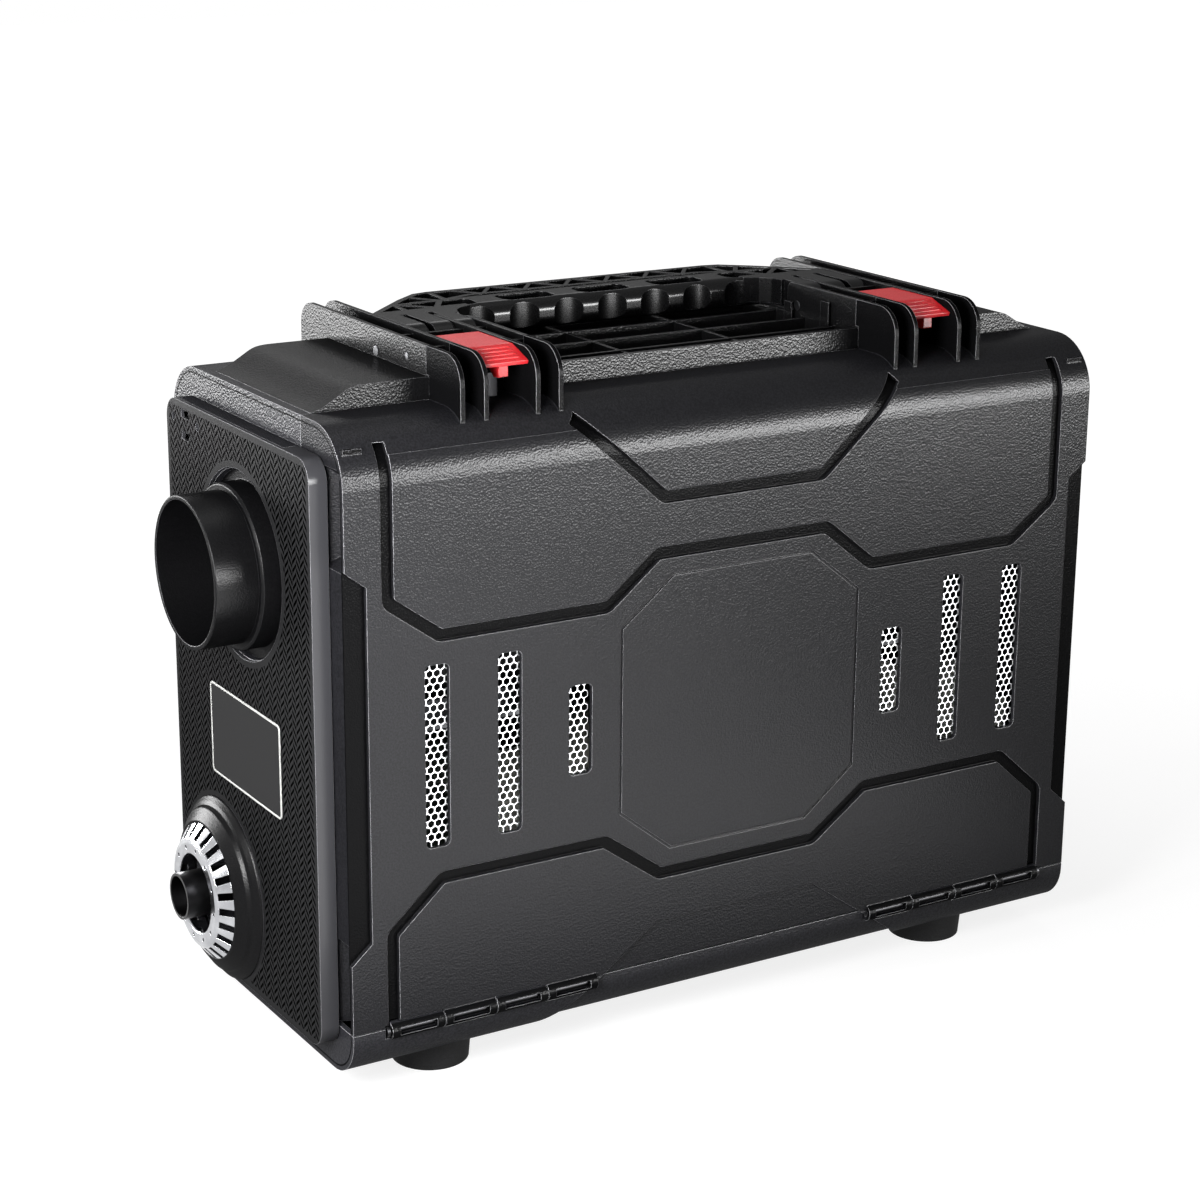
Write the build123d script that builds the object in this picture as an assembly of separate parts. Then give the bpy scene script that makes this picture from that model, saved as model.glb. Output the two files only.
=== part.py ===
from build123d import *
import math
import os

os.makedirs("parts", exist_ok=True)

# Body: x runs from the outlet end, y from the front face, z from the underside
body_len = 440.0
body_deep = 195.0
body_high = 321.5
top_round = 28.0
low_round = 22.0
wall = 3.0
lid_front = 5.0
half_gap = 0.15

# Lid parting: vertical seam near the front, level seam above the bottom strip
seam_y = 43.0
seam_z = 25.0
tower_seam_y = 45.5
groove_wide = 6.3
groove_deep = 2.5
bend_outer = 8.0
bend_inner = 2.5
skirt_deep = 2.0

# Air slots in the lid, as middle x, lower z and upper z
slot_wide = 13.0
slots = ((47.1, 113.2, 205.0), (86.4, 113.2, 205.0), (125.8, 135.7, 182.0))
mesh_y = 2.6
mesh_thick = 1.2

# Lid hinge along the bottom front edge
hinge_y = 1.3
hinge_z = 23.4
hinge_r = 4.4
hinge_pin_r = 2.0
hinge_sweep = 2.2
knuckle_len = 29.0
hinge_start = 19.5

# Towers on the top, four walls on each side
tower_top = 347.0
tower_walls = (68.1, 80.7, 108.5, 121.0)
plate_thick = 2.4
tower_front = 11.5
tower_rear = 183.5

# Raised saddle between the towers
saddle_top = 332.5
saddle_rear = 152.0
bay_floor = 323.3
tray_floor = 324.0

# Folding handle
handle_y = 98.0
handle_z = 335.3
handle_r = 11.5
handle_pin_r = 2.5
handle_low = 333.3
handle_top = 346.8
grip_low = 330.6

# Latches
latch_y = 65.1
latch_z = 338.8
latch_pin_r = 1.6
latch_x0 = 82.3
latch_x1 = 106.9

# Catch strip under the lid's top, with a tab below each latch
catch_x0 = 89.5
catch_x1 = 99.5
catch_y = 36.0
catch_top = 333.0
catch_thick = 2.0

# Warm-air outlet and exhaust on the outlet end
duct_y = 94.0
duct_z = 238.5
duct_r = 37.5
neck_out_r = 36.6
duct_bore = 35.4
duct_tip = -39.0
flue_y = 127.0
flue_z = 59.0
flue_r = 12.0
flue_tip = -35.0
plate_out = -10.0
plate_in = -8.2
plate_y0 = 14.5
plate_y1 = 180.0
plate_z0 = 14.0
plate_z1 = 306.5
plate_round = 11.0

# Air inlet and cable gland on the other end
inlet_r = 50.0
inlet_hole = 44.0
gland_y = 120.0
gland_z = 42.0
gland_r = 7.0

# Feet
foot_high = 16.5
foot_r = 21.0
foot_x = (63.0, 377.0)
foot_y = (42.0, 153.0)

# Heater unit inside
case_x0 = 14.0
case_x1 = 344.0
case_y0 = 28.0
case_y1 = 160.0
case_z0 = 169.0
case_z1 = 308.0
case_wall = 2.2
shaft_r = 3.0
drum_r = 42.0
drum_bore = 39.0
burner_x = 62.0
burner_r = 24.0
plug_x = 180.0
plug_r = 4.5
chamber_x0 = 200.0
chamber_x1 = 234.0
motor_x0 = 238.0
motor_x1 = 294.0
board_z = 284.0
board_top = 285.6
shelf_low = 161.0
shelf_high = 164.0

# Pipes that pass down through the shelf
flue_x = 60.0
flue_bore = 10.6
intake_x = 217.0
intake_y = 118.0
intake_z = 139.0
intake_r = 9.5
intake_bore = 8.0
fuel_x = 198.0

# Fuel tank with a riser at the inlet end
tank_x0 = 92.0
riser_x0 = 352.0
tank_x1 = 428.0
tank_top = 112.0
riser_top = 262.0
neck_x = 392.0
neck_y = 128.0
neck_r = 22.0
neck_top = 276.0
cap_r = 28.0
cap_low = 264.0
cap_high = 284.0

# Fuel lines, filter and pump
line_r = 3.0
line_bore = 1.5
pickup_x = 250.0
pickup_y = 160.0
line_z = 135.0
pump_y = 60.0
pump_z = 140.0
pump_r = 14.0

# Controller behind the lid
panel_x0 = 354.0
panel_x1 = 426.0
panel_y = 44.0
screen_x0 = 360.0
screen_x1 = 420.0
screen_z0 = 182.0
screen_z1 = 228.0
key_x = (367.5, 383.0, 398.0, 413.5)
key_z = 158.0

# The frame sits on the floor at the middle of the outline box
shift_x = -203.5
shift_y = -95.95
shift_z = foot_high


def block(x0, x1, y0, y1, z0, z1):
    size = Box(x1 - x0, y1 - y0, z1 - z0)
    return Pos((x0 + x1) / 2, (y0 + y1) / 2, (z0 + z1) / 2) * size


def rodX(y, z, r, x0, x1):
    return Pos((x0 + x1) / 2, y, z) * Rot(0, 90, 0) * Cylinder(r, x1 - x0)


def rodY(x, z, r, y0, y1):
    return Pos(x, (y0 + y1) / 2, z) * Rot(90, 0, 0) * Cylinder(r, y1 - y0)


def rodZ(x, y, r, z0, z1):
    return Pos(x, y, (z0 + z1) / 2) * Cylinder(r, z1 - z0)


def ringX(y, z, outer, inner, x0, x1):
    return rodX(y, z, outer, x0, x1) - rodX(y, z, inner, x0 - 1, x1 + 1)


def ringZ(x, y, outer, inner, z0, z1):
    return rodZ(x, y, outer, z0, z1) - rodZ(x, y, inner, z0 - 1, z1 + 1)


def prismX(points, x0, x1):
    return extrude(Plane.YZ.offset(x0) * Polygon(*points, align=None), x1 - x0, dir=(1, 0, 0))


def prismY(points, y0, y1):
    return extrude(Plane.XZ.offset(-y1) * Polygon(*points, align=None), y1 - y0, dir=(0, -1, 0))


def prismZ(points, z0, z1):
    return extrude(Plane.XY.offset(z0) * Polygon(*points, align=None), z1 - z0, dir=(0, 0, 1))


def otherEnd(shape):
    return mirror(shape, about=Plane.YZ.offset(body_len / 2))


def bothEnds(shape):
    return shape + otherEnd(shape)


def band(points, wide):
    # Outline of a mitred stripe that follows a run of points
    left = []
    right = []
    for i, (px, pz) in enumerate(points):
        before = points[max(i - 1, 0)]
        after = points[min(i + 1, len(points) - 1)]
        a1 = math.atan2(pz - before[1], px - before[0])
        a2 = math.atan2(after[1] - pz, after[0] - px)
        if i == 0:
            a1 = a2
        if i == len(points) - 1:
            a2 = a1
        half = (a2 - a1) / 2
        reach = wide / 2 / math.cos(half)
        nx = -math.sin(a1 + half) * reach
        nz = math.cos(a1 + half) * reach
        left.append((px + nx, pz + nz))
        right.append((px - nx, pz - nz))
    return left + right[::-1]


def save(shape, name):
    export_step(Pos(shift_x, shift_y, shift_z) * shape, "parts/" + name + ".step")


def bodyBlock(inset):
    shape = block(inset, body_len - inset, inset, body_deep - inset, inset, body_high - inset)
    runs = shape.edges().filter_by(Axis.X).sort_by(Axis.Z)
    shape = fillet(runs[-2:], top_round - inset)
    runs = shape.edges().filter_by(Axis.X).sort_by(Axis.Z)
    return fillet(runs[:2], low_round - inset)


def stripe(points, wide):
    # Stripe cutter with softly rounded bends
    outline = band(points, wide)
    cutter = prismY(outline, -1, 30)
    for i in range(1, len(points) - 1):
        (x0, z0), (x1, z1), (x2, z2) = points[i - 1:i + 2]
        turn = (x1 - x0) * (z2 - z1) - (z1 - z0) * (x2 - x1)
        corners = (outline[i], outline[len(outline) - 1 - i])
        bends = (bend_inner, bend_outer) if turn > 0 else (bend_outer, bend_inner)
        for (x, z), bend in zip(corners, bends):
            upright = cutter.edges().filter_by(Axis.Y).sort_by_distance((x, 15, z))[0]
            cutter = fillet(upright, bend)
    return cutter


def panelGrooves():
    # Wide grooves that outline the upper and lower panels, left half then mirrored
    upper = [(22, 313), (22, 238.5), (49, 219), (141, 219), (169.7, 242), (221, 242)]
    lower = [(22, 14), (22, 73), (49.2, 97.2), (140.4, 97.2), (172.9, 73.8), (221, 73.8)]
    crown = [(124.5, 313), (172.9, 270), (221, 270)]
    cut = stripe(upper, groove_wide)
    cut += stripe(lower, groove_wide)
    cut += stripe(crown, groove_wide)
    return bothEnds(cut) - bodyBlock(groove_deep)


def skirt():
    # Shallow recess in the middle of the lower edge, wrapped round the bottom
    corner_x, corner_z, foot_x0 = 171.4, 48.0, 102.7
    side = [(foot_x0, -1), (corner_x, corner_z)]
    side += [(body_len - corner_x, corner_z), (body_len - foot_x0, -1)]
    cutter = prismY(side, -1, 30)
    upright = cutter.edges().filter_by(Axis.Y).group_by(Axis.Z)[-1]
    return fillet(upright, 4) - bodyBlock(skirt_deep)


def onTopRound(degrees, radius):
    a = math.radians(degrees)
    return top_round - radius * math.cos(a), body_high - top_round + radius * math.sin(a)


def panelSteps():
    # Crisp upper edge of the panels beside the towers, run out into the top round
    side = [onTopRound(31, top_round - 0.9), onTopRound(46, top_round)]
    side += [onTopRound(46, top_round + 5), onTopRound(31, top_round + 5)]
    return bothEnds(prismX(side, 25.1, 125))


def octagonLine():
    low_x, high_x, low_z, high_z = 148.4, 291.6, 86.3, 231.0
    outer = eightSides(low_x, high_x, low_z, high_z, 30, 24)
    inner = eightSides(low_x + 1.2, high_x - 1.2, low_z + 1.2, high_z - 1.2, 29.5, 23.5)
    return prismY(outer, -1, 0.8) - prismY(inner, -1, 0.8)


def eightSides(x0, x1, z0, z1, cx, cz):
    lower = [(x0 + cx, z0), (x1 - cx, z0), (x1, z0 + cz), (x1, z1 - cz)]
    upper = [(x1 - cx, z1), (x0 + cx, z1), (x0, z1 - cz), (x0, z0 + cz)]
    return lower + upper


def ventSlots():
    cut = None
    for x, z0, z1 in slots:
        face = Plane.XZ.offset(-8) * Pos(x, (z0 + z1) / 2) * RectangleRounded(slot_wide, z1 - z0, 3)
        slot = extrude(face, 10)
        cut = slot if cut is None else cut + slot
    return bothEnds(cut)


def frontWall(x, end_y):
    # The part of a tower wall that rides on the lid
    foot = [(tower_front, 313.5), (20, 318), (30, 319.5), (seam_y - half_gap, 319.5)]
    back = [(seam_y - half_gap, 333.1), (end_y, 333.1), (end_y, tower_top), (tower_front, tower_top)]
    plate = prismX(foot + back, x - plate_thick / 2, x + plate_thick / 2)
    corner = plate.edges().filter_by(Axis.X).group_by(Axis.Z)[-1].sort_by(Axis.Y)[0]
    return fillet(corner, 14)


def rearWall(x, end_y):
    # The part of a tower wall that stands on the housing
    start = tower_seam_y + half_gap
    foot = [(seam_y + half_gap, 319.5), (min(end_y, 165), 319.5)]
    if end_y > 170:
        foot += [(175, 318), (end_y, 313.5)]
    back = [(end_y, tower_top), (start, tower_top), (start, 332.9), (seam_y + half_gap, 332.9)]
    plate = prismX(foot + back, x - plate_thick / 2, x + plate_thick / 2)
    corner = plate.edges().filter_by(Axis.X).group_by(Axis.Z)[-1].sort_by(Axis.Y)[-1]
    return fillet(corner, 12 if end_y > 170 else 4)


def pinHoles():
    cut = rodX(handle_y, handle_z, handle_pin_r, 60, 130)
    cut += rodX(latch_y, latch_z, latch_pin_r, 60, 112)
    return bothEnds(cut)


def knuckleSpan(k):
    x0 = hinge_start + k * knuckle_len
    return x0 + half_gap, x0 + knuckle_len - half_gap


def knuckles(picked):
    made = None
    for k in picked:
        x0, x1 = knuckleSpan(k)
        piece = rodX(hinge_y, hinge_z, hinge_r, x0, x1)
        made = piece if made is None else made + piece
    return bothEnds(made)


def knuckleRoom(picked):
    made = None
    for k in picked:
        x0, x1 = knuckleSpan(k)
        piece = rodX(hinge_y, hinge_z, hinge_r + 0.35, x0 - 2 * half_gap, x1 + 2 * half_gap)
        made = piece if made is None else made + piece
    return bothEnds(made)


def knuckleBores(picked, bore):
    cut = None
    for k in picked:
        x0, x1 = knuckleSpan(k)
        mid = (x0 + x1) / 2
        piece = rodX(hinge_y, hinge_z, bore, x0 - 1, x1 + 1)
        piece += block(mid - 10, mid + 10, -4, hinge_y, hinge_z - 1.9, hinge_z + 1.9)
        cut = piece if cut is None else cut + piece
    return bothEnds(cut)


def pinHeadRoom():
    return bothEnds(rodX(hinge_y, hinge_z, 3.6, hinge_start - 2.4, hinge_start + 0.3))


def saddle():
    # Raised bridge over the middle of the top, with softly rising ends
    rise = Spline((0, 321.0), (9, 322.6), (22, 329.6), (35, saddle_top), tangents=[(1, 0), (1, 0)])
    flat = Line((35, saddle_top), (220, saddle_top))
    side = Line((220, saddle_top), (220, 318.5))
    base = Polyline((220, 318.5), (0, 318.5), (0, 321.0))
    outline = make_face(Plane.XZ.offset(-saddle_rear) * (rise + flat + side + base))
    half = extrude(outline, saddle_rear - seam_y - half_gap, dir=(0, -1, 0))
    return bothEnds(half)


def saddlePockets():
    rear = saddle_rear - 3
    cut = block(69.3, 79.5, 46.1, rear, bay_floor, 360)
    cut += block(81.9, 107.3, 46.1, rear, bay_floor, 360)
    cut += block(109.7, 119.8, 46.1, rear, bay_floor, 360)
    cut += block(34, 66.9, 46.1, rear, 310, 329.8)
    cut = bothEnds(cut)
    cut += block(122.2, 317.8, 46.1, rear, tray_floor, 360)
    cut += block(122.2, 317.8, rear - 1, saddle_rear + 1, 329.4, 360)
    return cut


def towerRibs():
    made = block(68, 121, 82.5, 84.5, 321, 345)
    made += block(69, 80, 49.5, 51.5, 321, 345)
    made += block(109, 120.5, 46.0, 48.0, 321, 345)
    made += block(93.2, 95.2, 84, 115, 321, 341)
    return bothEnds(made)


def trayRibs():
    made = None
    for y in (64.0, 91.0, 118.0):
        rib = block(121, 319, y - 1, y + 1, tray_floor - 1, 330)
        made = rib if made is None else made + rib
    for x in (187.0, 253.0):
        made += block(x - 1, x + 1, 45, saddle_rear - 1, tray_floor - 1, 329.4)
    stem = block(121, 124.4, 69, 71, 321, 342) + block(123.4, 124.6, 66.5, 73.5, 321, 342)
    stem += block(121, 124.4, 102, 104, 321, 337) + block(123.4, 124.6, 99.5, 106.5, 321, 337)
    return made + bothEnds(stem)


def plateSlab(x0, x1, inset):
    mid = Pos((plate_y0 + plate_y1) / 2, (plate_z0 + plate_z1) / 2)
    wide = plate_y1 - plate_y0 - 2 * inset
    high = plate_z1 - plate_z0 - 2 * inset
    face = Plane.YZ.offset(x0) * mid * RectangleRounded(wide, high, plate_round - inset)
    return extrude(face, x1 - x0, dir=(1, 0, 0))


def endPad():
    # Hollow frame on the outlet end that carries the plate
    frame = plateSlab(plate_in, 0.5, 0) - plateSlab(plate_in - 1, 2, 3)
    frame += block(plate_in, 0.5, 45.5, 48.5, plate_z0 + 1, plate_z1 - 1)
    frame &= block(plate_in - 1, 2, 45.5, body_deep, 0, body_high)
    frame += ringX(duct_y, duct_z, 50, 47, plate_in, 0.5)
    frame += ringX(flue_y, flue_z, 38, 35, plate_in, 0.5)
    frame -= rodX(duct_y, duct_z, 47, plate_in - 1, 0)
    return frame


def topDeck():
    # Saddle, towers and egg-crate tray, seated on the housing's top
    deck = saddle() - saddlePockets()
    for x, end_y in zip(tower_walls, (tower_rear, tower_rear, 117.0, 107.0)):
        deck += bothEnds(rearWall(x, end_y))
    deck += towerRibs() + trayRibs()
    deck -= bodyBlock(0)
    return deck - pinHoles()


def rearHousing():
    shell = bodyBlock(0)
    shell -= block(-1, body_len + 1, -1, seam_y + half_gap, seam_z - half_gap, 400)
    shell -= bodyBlock(wall)
    shell += endPad()
    shell -= skirt()
    shell -= mirror(panelGrooves() + panelSteps() + skirt(), about=Plane.XZ.offset(-body_deep / 2))
    shell += knuckles((0, 2))
    shell -= knuckleRoom((1, 3)) + pinHeadRoom()
    shell -= knuckleBores((0, 2), hinge_pin_r)
    shell -= rodX(duct_y, duct_z, neck_out_r, -20, 5) + rodX(flue_y, flue_z, flue_r + 3, -20, 5)
    shell -= rodX(duct_y, duct_z, inlet_hole, body_len - 5, body_len + 5)
    shell -= rodX(gland_y, gland_z, gland_r, body_len - 5, body_len + 5)
    return shell


def coveBlocks():
    # Material behind the panel's corners, for the coves to be cut from
    made = block(2.5, 12.5, 4.9, 27, 251, 312) + block(2.5, 12.5, 4.9, 27, seam_z + half_gap, 75)
    return bothEnds(made)


def coves():
    # Finger-wide hollows behind the panel's corners, rounded over from the end face
    deep = 9.5
    start = Polyline((-1, 24), (-1, 3), (deep, 3), (deep, 12))
    swell = Bezier((deep, 12), (deep, 19), (0, 17), (0, 24))
    outline = make_face(start + swell + Line((0, 24), (-1, 24)))
    cutter = extrude(outline, 330, dir=(0, 0, 1))
    upper = prismY([(-1, 254), (0, 255), (deep, 261), (deep, 296), (0, 303), (-1, 304)], 0, 30)
    lower = prismY([(-1, 20), (deep, 20), (deep, 65), (0, 71), (-1, 72)], 0, 30)
    return bothEnds(cutter & (upper + lower))


def waists():
    # Narrowed middle of the front panel
    side = [(-1, 61.1), (0, 61.1), (11, 70.8), (11, 247.5), (0, 256), (-1, 256)]
    return bothEnds(prismY(side, -1, groove_deep))


def frontLid():
    shell = bodyBlock(0) & block(-1, body_len + 1, -1, seam_y - half_gap, seam_z + half_gap, 400)
    room = bodyBlock(wall) - block(-1, body_len + 1, -1, lid_front, -1, 400)
    shell -= room
    shell += coveBlocks()
    shell -= coves() + waists()
    shell -= panelGrooves() + panelSteps() + skirt()
    shell -= octagonLine()
    shell -= ventSlots()
    shell -= bothEnds(block(37.5, 135.5, mesh_y, lid_front + 0.1, 107.5, 210.5))
    shell -= rodX(hinge_y, hinge_z, hinge_sweep, -1, body_len + 1)
    for x in tower_walls:
        shell += bothEnds(frontWall(x, tower_seam_y - half_gap))
    shell += knuckles((1, 3))
    shell -= knuckleRoom((0, 2)) + pinHeadRoom()
    shell -= knuckleBores((1, 3), hinge_pin_r + 0.05)
    return shell - catchSlots()


def catchSlots():
    slot = block(catch_x0 - 0.4, catch_x1 + 0.4, catch_y - 1.4, catch_y + 1.4, body_high - 5, body_high + 1)
    return bothEnds(slot)


def latchCatch():
    # Folded strip under the lid's top, one tab up through a slot below each latch
    under = body_high - wall
    strip = block(80, body_len - 80, catch_y - 4, catch_y + 5, under - catch_thick, under)
    tab = block(catch_x0, catch_x1, catch_y - 1, catch_y + 1, under - 1, catch_top)
    tab += block(catch_x0, catch_x1, catch_y - 1, catch_y + 3.5, catch_top - 1.5, catch_top)
    return strip + bothEnds(tab)


def ventMesh():
    # Sheet behind each group of slots; the holes stand for the open weave
    sheet = block(38, 135, mesh_y, mesh_y + mesh_thick, 108, 210)
    for x, z0, z1 in slots:
        count = int((z1 - z0) / 9)
        pitch = (z1 - z0) / count
        for k in range(count):
            z = z0 + pitch * (k + 0.5)
            sheet -= block(x - 5.5, x - 0.7, mesh_y - 1, mesh_y + 2, z - 3.4, z + 3.4)
            sheet -= block(x + 0.7, x + 5.5, mesh_y - 1, mesh_y + 2, z - 3.4, z + 3.4)
    return sheet


def lidGasket():
    seal = block(wall, body_len - wall, 44, 47, seam_z, body_high - wall)
    seal &= bodyBlock(wall)
    return seal - block(6, body_len - 6, 40, 50, 0, body_high - 6)


def hingePin():
    pin = rodX(hinge_y, hinge_z, hinge_pin_r, hinge_start - 0.5, hinge_start + 4 * knuckle_len)
    return pin + rodX(hinge_y, hinge_z, 3.2, hinge_start - 2.1, hinge_start - 0.3)


def latch():
    side = [(18, 341), (18.6, 339.2), (33, 342.6), (60, 342.6), (61, 338), (69.3, 338)]
    side += [(69.3, 344), (67, 346.4), (33.5, 346.4)]
    lever = prismX(side, latch_x0, latch_x1)
    lever += rodX(latch_y, latch_z, 4.3, latch_x0, latch_x1)
    stub = [(20.5, 333.6), (25, 333), (31, 337.4), (35, 343.5), (20.5, 341)]
    lever += prismX(stub, 92.0, 97.2)
    return lever - rodX(latch_y, latch_z, latch_pin_r + 0.05, latch_x0 - 1, latch_x1 + 1)


def handleLeg():
    leg = rodX(handle_y, handle_z, handle_r, 82.5, 119.5)
    leg += block(82.5, 119.5, handle_y, 132.5, handle_low, handle_top)
    for x in (94.0, 108.5):
        leg -= block(x - 1.8, x + 1.8, 80, 121.5, 320, 350)
    inner = [(119, 114), (121.5, 114), (123.5, 120), (128, 125.5), (136, 129), (136, 134), (119, 134)]
    return leg + prismZ(inner, handle_low, handle_top)


def handleTruss():
    # Open lattice along the rear rim and round the corner to the leg
    rim = [(84.1, 131.5), (110.9, 157.6), (125.5, 169.6), (134, 171.4), (220.5, 171.4)]
    inner = [(118, 131), (128.6, 148), (149, 155.4), (220.5, 155.4)]
    made = prismZ(band(rim, 3.2), handle_low, handle_top)
    made += prismZ(band(inner, 3.2), handle_low, handle_top)
    made += prismZ(band([(101, 147.6), (128.6, 147.6)], 2.6), handle_low, handle_top)
    made += prismZ(band([(118.5, 131.5), (102, 148)], 2.6), handle_low, handle_top)
    made += prismZ(band([(101, 131.5), (101.5, 149)], 2.6), handle_low, handle_top)
    made += prismZ(band([(128.6, 148), (118, 163.5)], 2.6), handle_low, handle_top)
    made += prismZ(band([(133, 150), (134, 171)], 2.6), handle_low, handle_top)
    step = 24.7
    for k in range(3):
        low = 220 - step * (k + 0.5)
        made += prismZ(band([(low, 155.4), (low + step / 2, 171.4)], 2.2), handle_low, handle_top)
        made += prismZ(band([(low, 155.4), (low - step / 2, 171.4)], 2.2), handle_low, handle_top)
    return made


def handleGrip():
    face = Plane.YZ.offset(113) * Pos(141.5, (grip_low + handle_top) / 2)
    bar = extrude(face * RectangleRounded(29, handle_top - grip_low, 6.5), 214)
    bar -= bothEnds(block(100, 124, 120, 160, 320, handle_low))
    for k in range(-3, 4):
        bar -= rodZ(220 + 26.5 * k, 113.6, 16, 320, 350)
    for k in range(-2, 3):
        pocket = Plane.XY.offset(337.5) * Pos(220 + 46 * k, 139.5) * RectangleRounded(31, 15, 5)
        bar -= extrude(pocket, 12)
    return bar


def handle():
    half = handleLeg() + handleTruss()
    made = bothEnds(half) + handleGrip()
    bores = bothEnds(rodX(handle_y, handle_z, handle_pin_r + 0.05, 80, 122))
    return made - bores


def endPlate():
    # Cover plate whose rim turns back over the lid's end, clear of it
    sheet = plateSlab(plate_out, plate_in, 0)
    rim = plateSlab(plate_in - 0.2, -0.6, 0) - plateSlab(plate_in - 1, 1, 1.5)
    sheet += rim & block(plate_in - 1, 0, 0, 45.1, 0, body_high)
    sheet -= rodX(duct_y, duct_z, 47.5, -12, -5)
    sheet -= rodX(flue_y, flue_z, 34.8, -12, -5)
    for y in (171.3, 141.5):
        sheet -= rodX(y, 297, 2, -12, -5)
    for z in (300.5, 289.4):
        sheet -= block(-12, -5, 152.2, 161.2, z - 2, z + 2)
    return sheet


def turned(points, y, z):
    # Solid of revolution about an axis along x; points are (x, radius)
    face = Plane.XY * Polygon(*points, align=None)
    return Pos(0, y, z) * revolve(face, Axis.X)


def ductCollar():
    side = [(-17, neck_out_r), (-17, 40), (-16, 41), (-5, 41), (-5, 46.6), (0, 46.6), (0, neck_out_r)]
    return turned(side, duct_y, duct_z)


def ductSpigot():
    side = [(duct_tip, duct_bore), (duct_tip, duct_r - 0.4), (duct_tip + 0.4, duct_r), (-17, duct_r)]
    side += [(-17, neck_out_r), (13.5, neck_out_r), (13.5, duct_bore)]
    return turned(side, duct_y, duct_z)


def exhaustBell():
    side = [(-10, 48), (-11, 47.6), (-13, 45.2), (-14, 43.5), (-16, 42.3), (-20, 36.4)]
    side += [(-20, 35.1), (-10, 35.1)]
    return turned(side, flue_y, flue_z)


def exhaustGuard():
    side = [(-12, 35.1), (-20, 35.1), (-26, 28), (-26.6, 26), (-26.6, 21), (-26, 20.5)]
    side += [(-25, 20.5), (-25, 27), (-19.4, 33.6), (-12, 33.6)]
    guard = turned(side, flue_y, flue_z)
    for k in range(24):
        slot = block(-25.4, -16, -1.9, 1.9, 26.6, 40)
        guard -= Pos(0, flue_y, flue_z) * Rot(k * 15, 0, 0) * slot
    for k in range(12):
        drill = rodX(0, 24, 1, -28, -24)
        guard -= Pos(0, flue_y, flue_z) * Rot(k * 30 + 7.5, 0, 0) * drill
    return guard


def exhaustStub():
    side = [(flue_tip, flue_bore), (flue_tip, flue_r), (-12, flue_r), (-12, flue_r - 0.2)]
    side += [(12, flue_r - 0.2), (12, flue_bore)]
    return turned(side, flue_y, flue_z)


def exhaustPipe():
    bend = 30
    corner = (flue_x, flue_y, flue_z + bend)
    top = (flue_x, flue_y, shelf_low - 3)
    turned_to = (flue_x - bend, flue_y, flue_z)
    down = Line(top, corner)
    round_part = TangentArc(corner, turned_to, tangent=(0, 0, -1))
    along = Line(turned_to, (12, flue_y, flue_z))
    start = Plane(origin=top, x_dir=(1, 0, 0), z_dir=(0, 0, -1))
    return sweep(start * (Circle(flue_r) - Circle(flue_bore - 0.1)), path=down + round_part + along)


def foot(x, y):
    puck = Pos(x, y, -foot_high / 2) * Cone(19.6, foot_r, foot_high)
    return puck - rodZ(x, y, 5, -foot_high - 1, -foot_high + 9)


def caseBlock(inset):
    shape = block(
        case_x0 + inset, case_x1 - inset, case_y0 + inset, case_y1 - inset, case_z0 + inset, case_z1 - inset
    )
    return fillet(shape.edges().filter_by(Axis.X), 26 - inset)


def heaterCase():
    shape = caseBlock(0) - caseBlock(case_wall)
    shape -= rodX(duct_y, duct_z, 36, case_x0 - 1, case_x0 + 5)
    shape -= rodX(duct_y, duct_z, 50, case_x1 - 5, case_x1 + 1)
    shape -= rodZ(flue_x, flue_y, flue_r + 2, 160, 180)
    shape -= rodZ(intake_x, intake_y, 12, 160, 180)
    shape -= rodZ(fuel_x, duct_y, 2, 160, 180)
    return shape


def caseLower():
    return heaterCase() & block(0, 400, 0, 200, 160, duct_z)


def caseUpper():
    return heaterCase() & block(0, 400, 0, 200, duct_z, 320)


def heatExchanger():
    drum = ringX(duct_y, duct_z, drum_r, drum_bore, 40, 196) + rodX(duct_y, duct_z, drum_r, 37, 40)
    for k in range(16):
        fin = block(46, 190, -1.1, 1.1, drum_r - 1, drum_r + 16)
        drum += Pos(0, duct_y, duct_z) * Rot(11.25 + k * 22.5, 0, 0) * fin
    drum += rodZ(flue_x, flue_y, flue_r, shelf_low - 3, 222)
    drum -= rodZ(flue_x, flue_y, flue_bore - 0.1, 150, 222)
    drum -= rodX(duct_y, duct_z, drum_bore, 40, 197)
    return drum - rodZ(plug_x, duct_y, plug_r + 0.05, 260, 320)


def burnerTube():
    tube = ringX(duct_y, duct_z, burner_r, burner_r - 2.5, burner_x, 192)
    tube += rodX(duct_y, duct_z, drum_bore - 0.2, 188, 196)
    tube -= rodX(duct_y, duct_z, 15, 180, 200)
    for k in range(6):
        tube -= Pos(0, duct_y, duct_z) * Rot(30 + k * 60, 0, 0) * rodZ(110, 0, 4, 18, 30)
    return tube - rodZ(plug_x, duct_y, plug_r + 0.05, 240, 300)


def glowPlug():
    plug = rodZ(plug_x, duct_y, plug_r, 262, 284) + rodZ(plug_x, duct_y, 2, 252, 263)
    nut = extrude(Plane.XY.offset(284) * Pos(plug_x, duct_y) * RegularPolygon(6, 6), 7)
    return plug + nut + rodZ(plug_x, duct_y, 2.2, 290, 300)


def fuelInlet():
    pipe = rodZ(fuel_x, duct_y, line_bore, shelf_low - 3, duct_z - 2.5)
    return pipe + rodX(duct_y, duct_z, 4, 196, 200)


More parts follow.
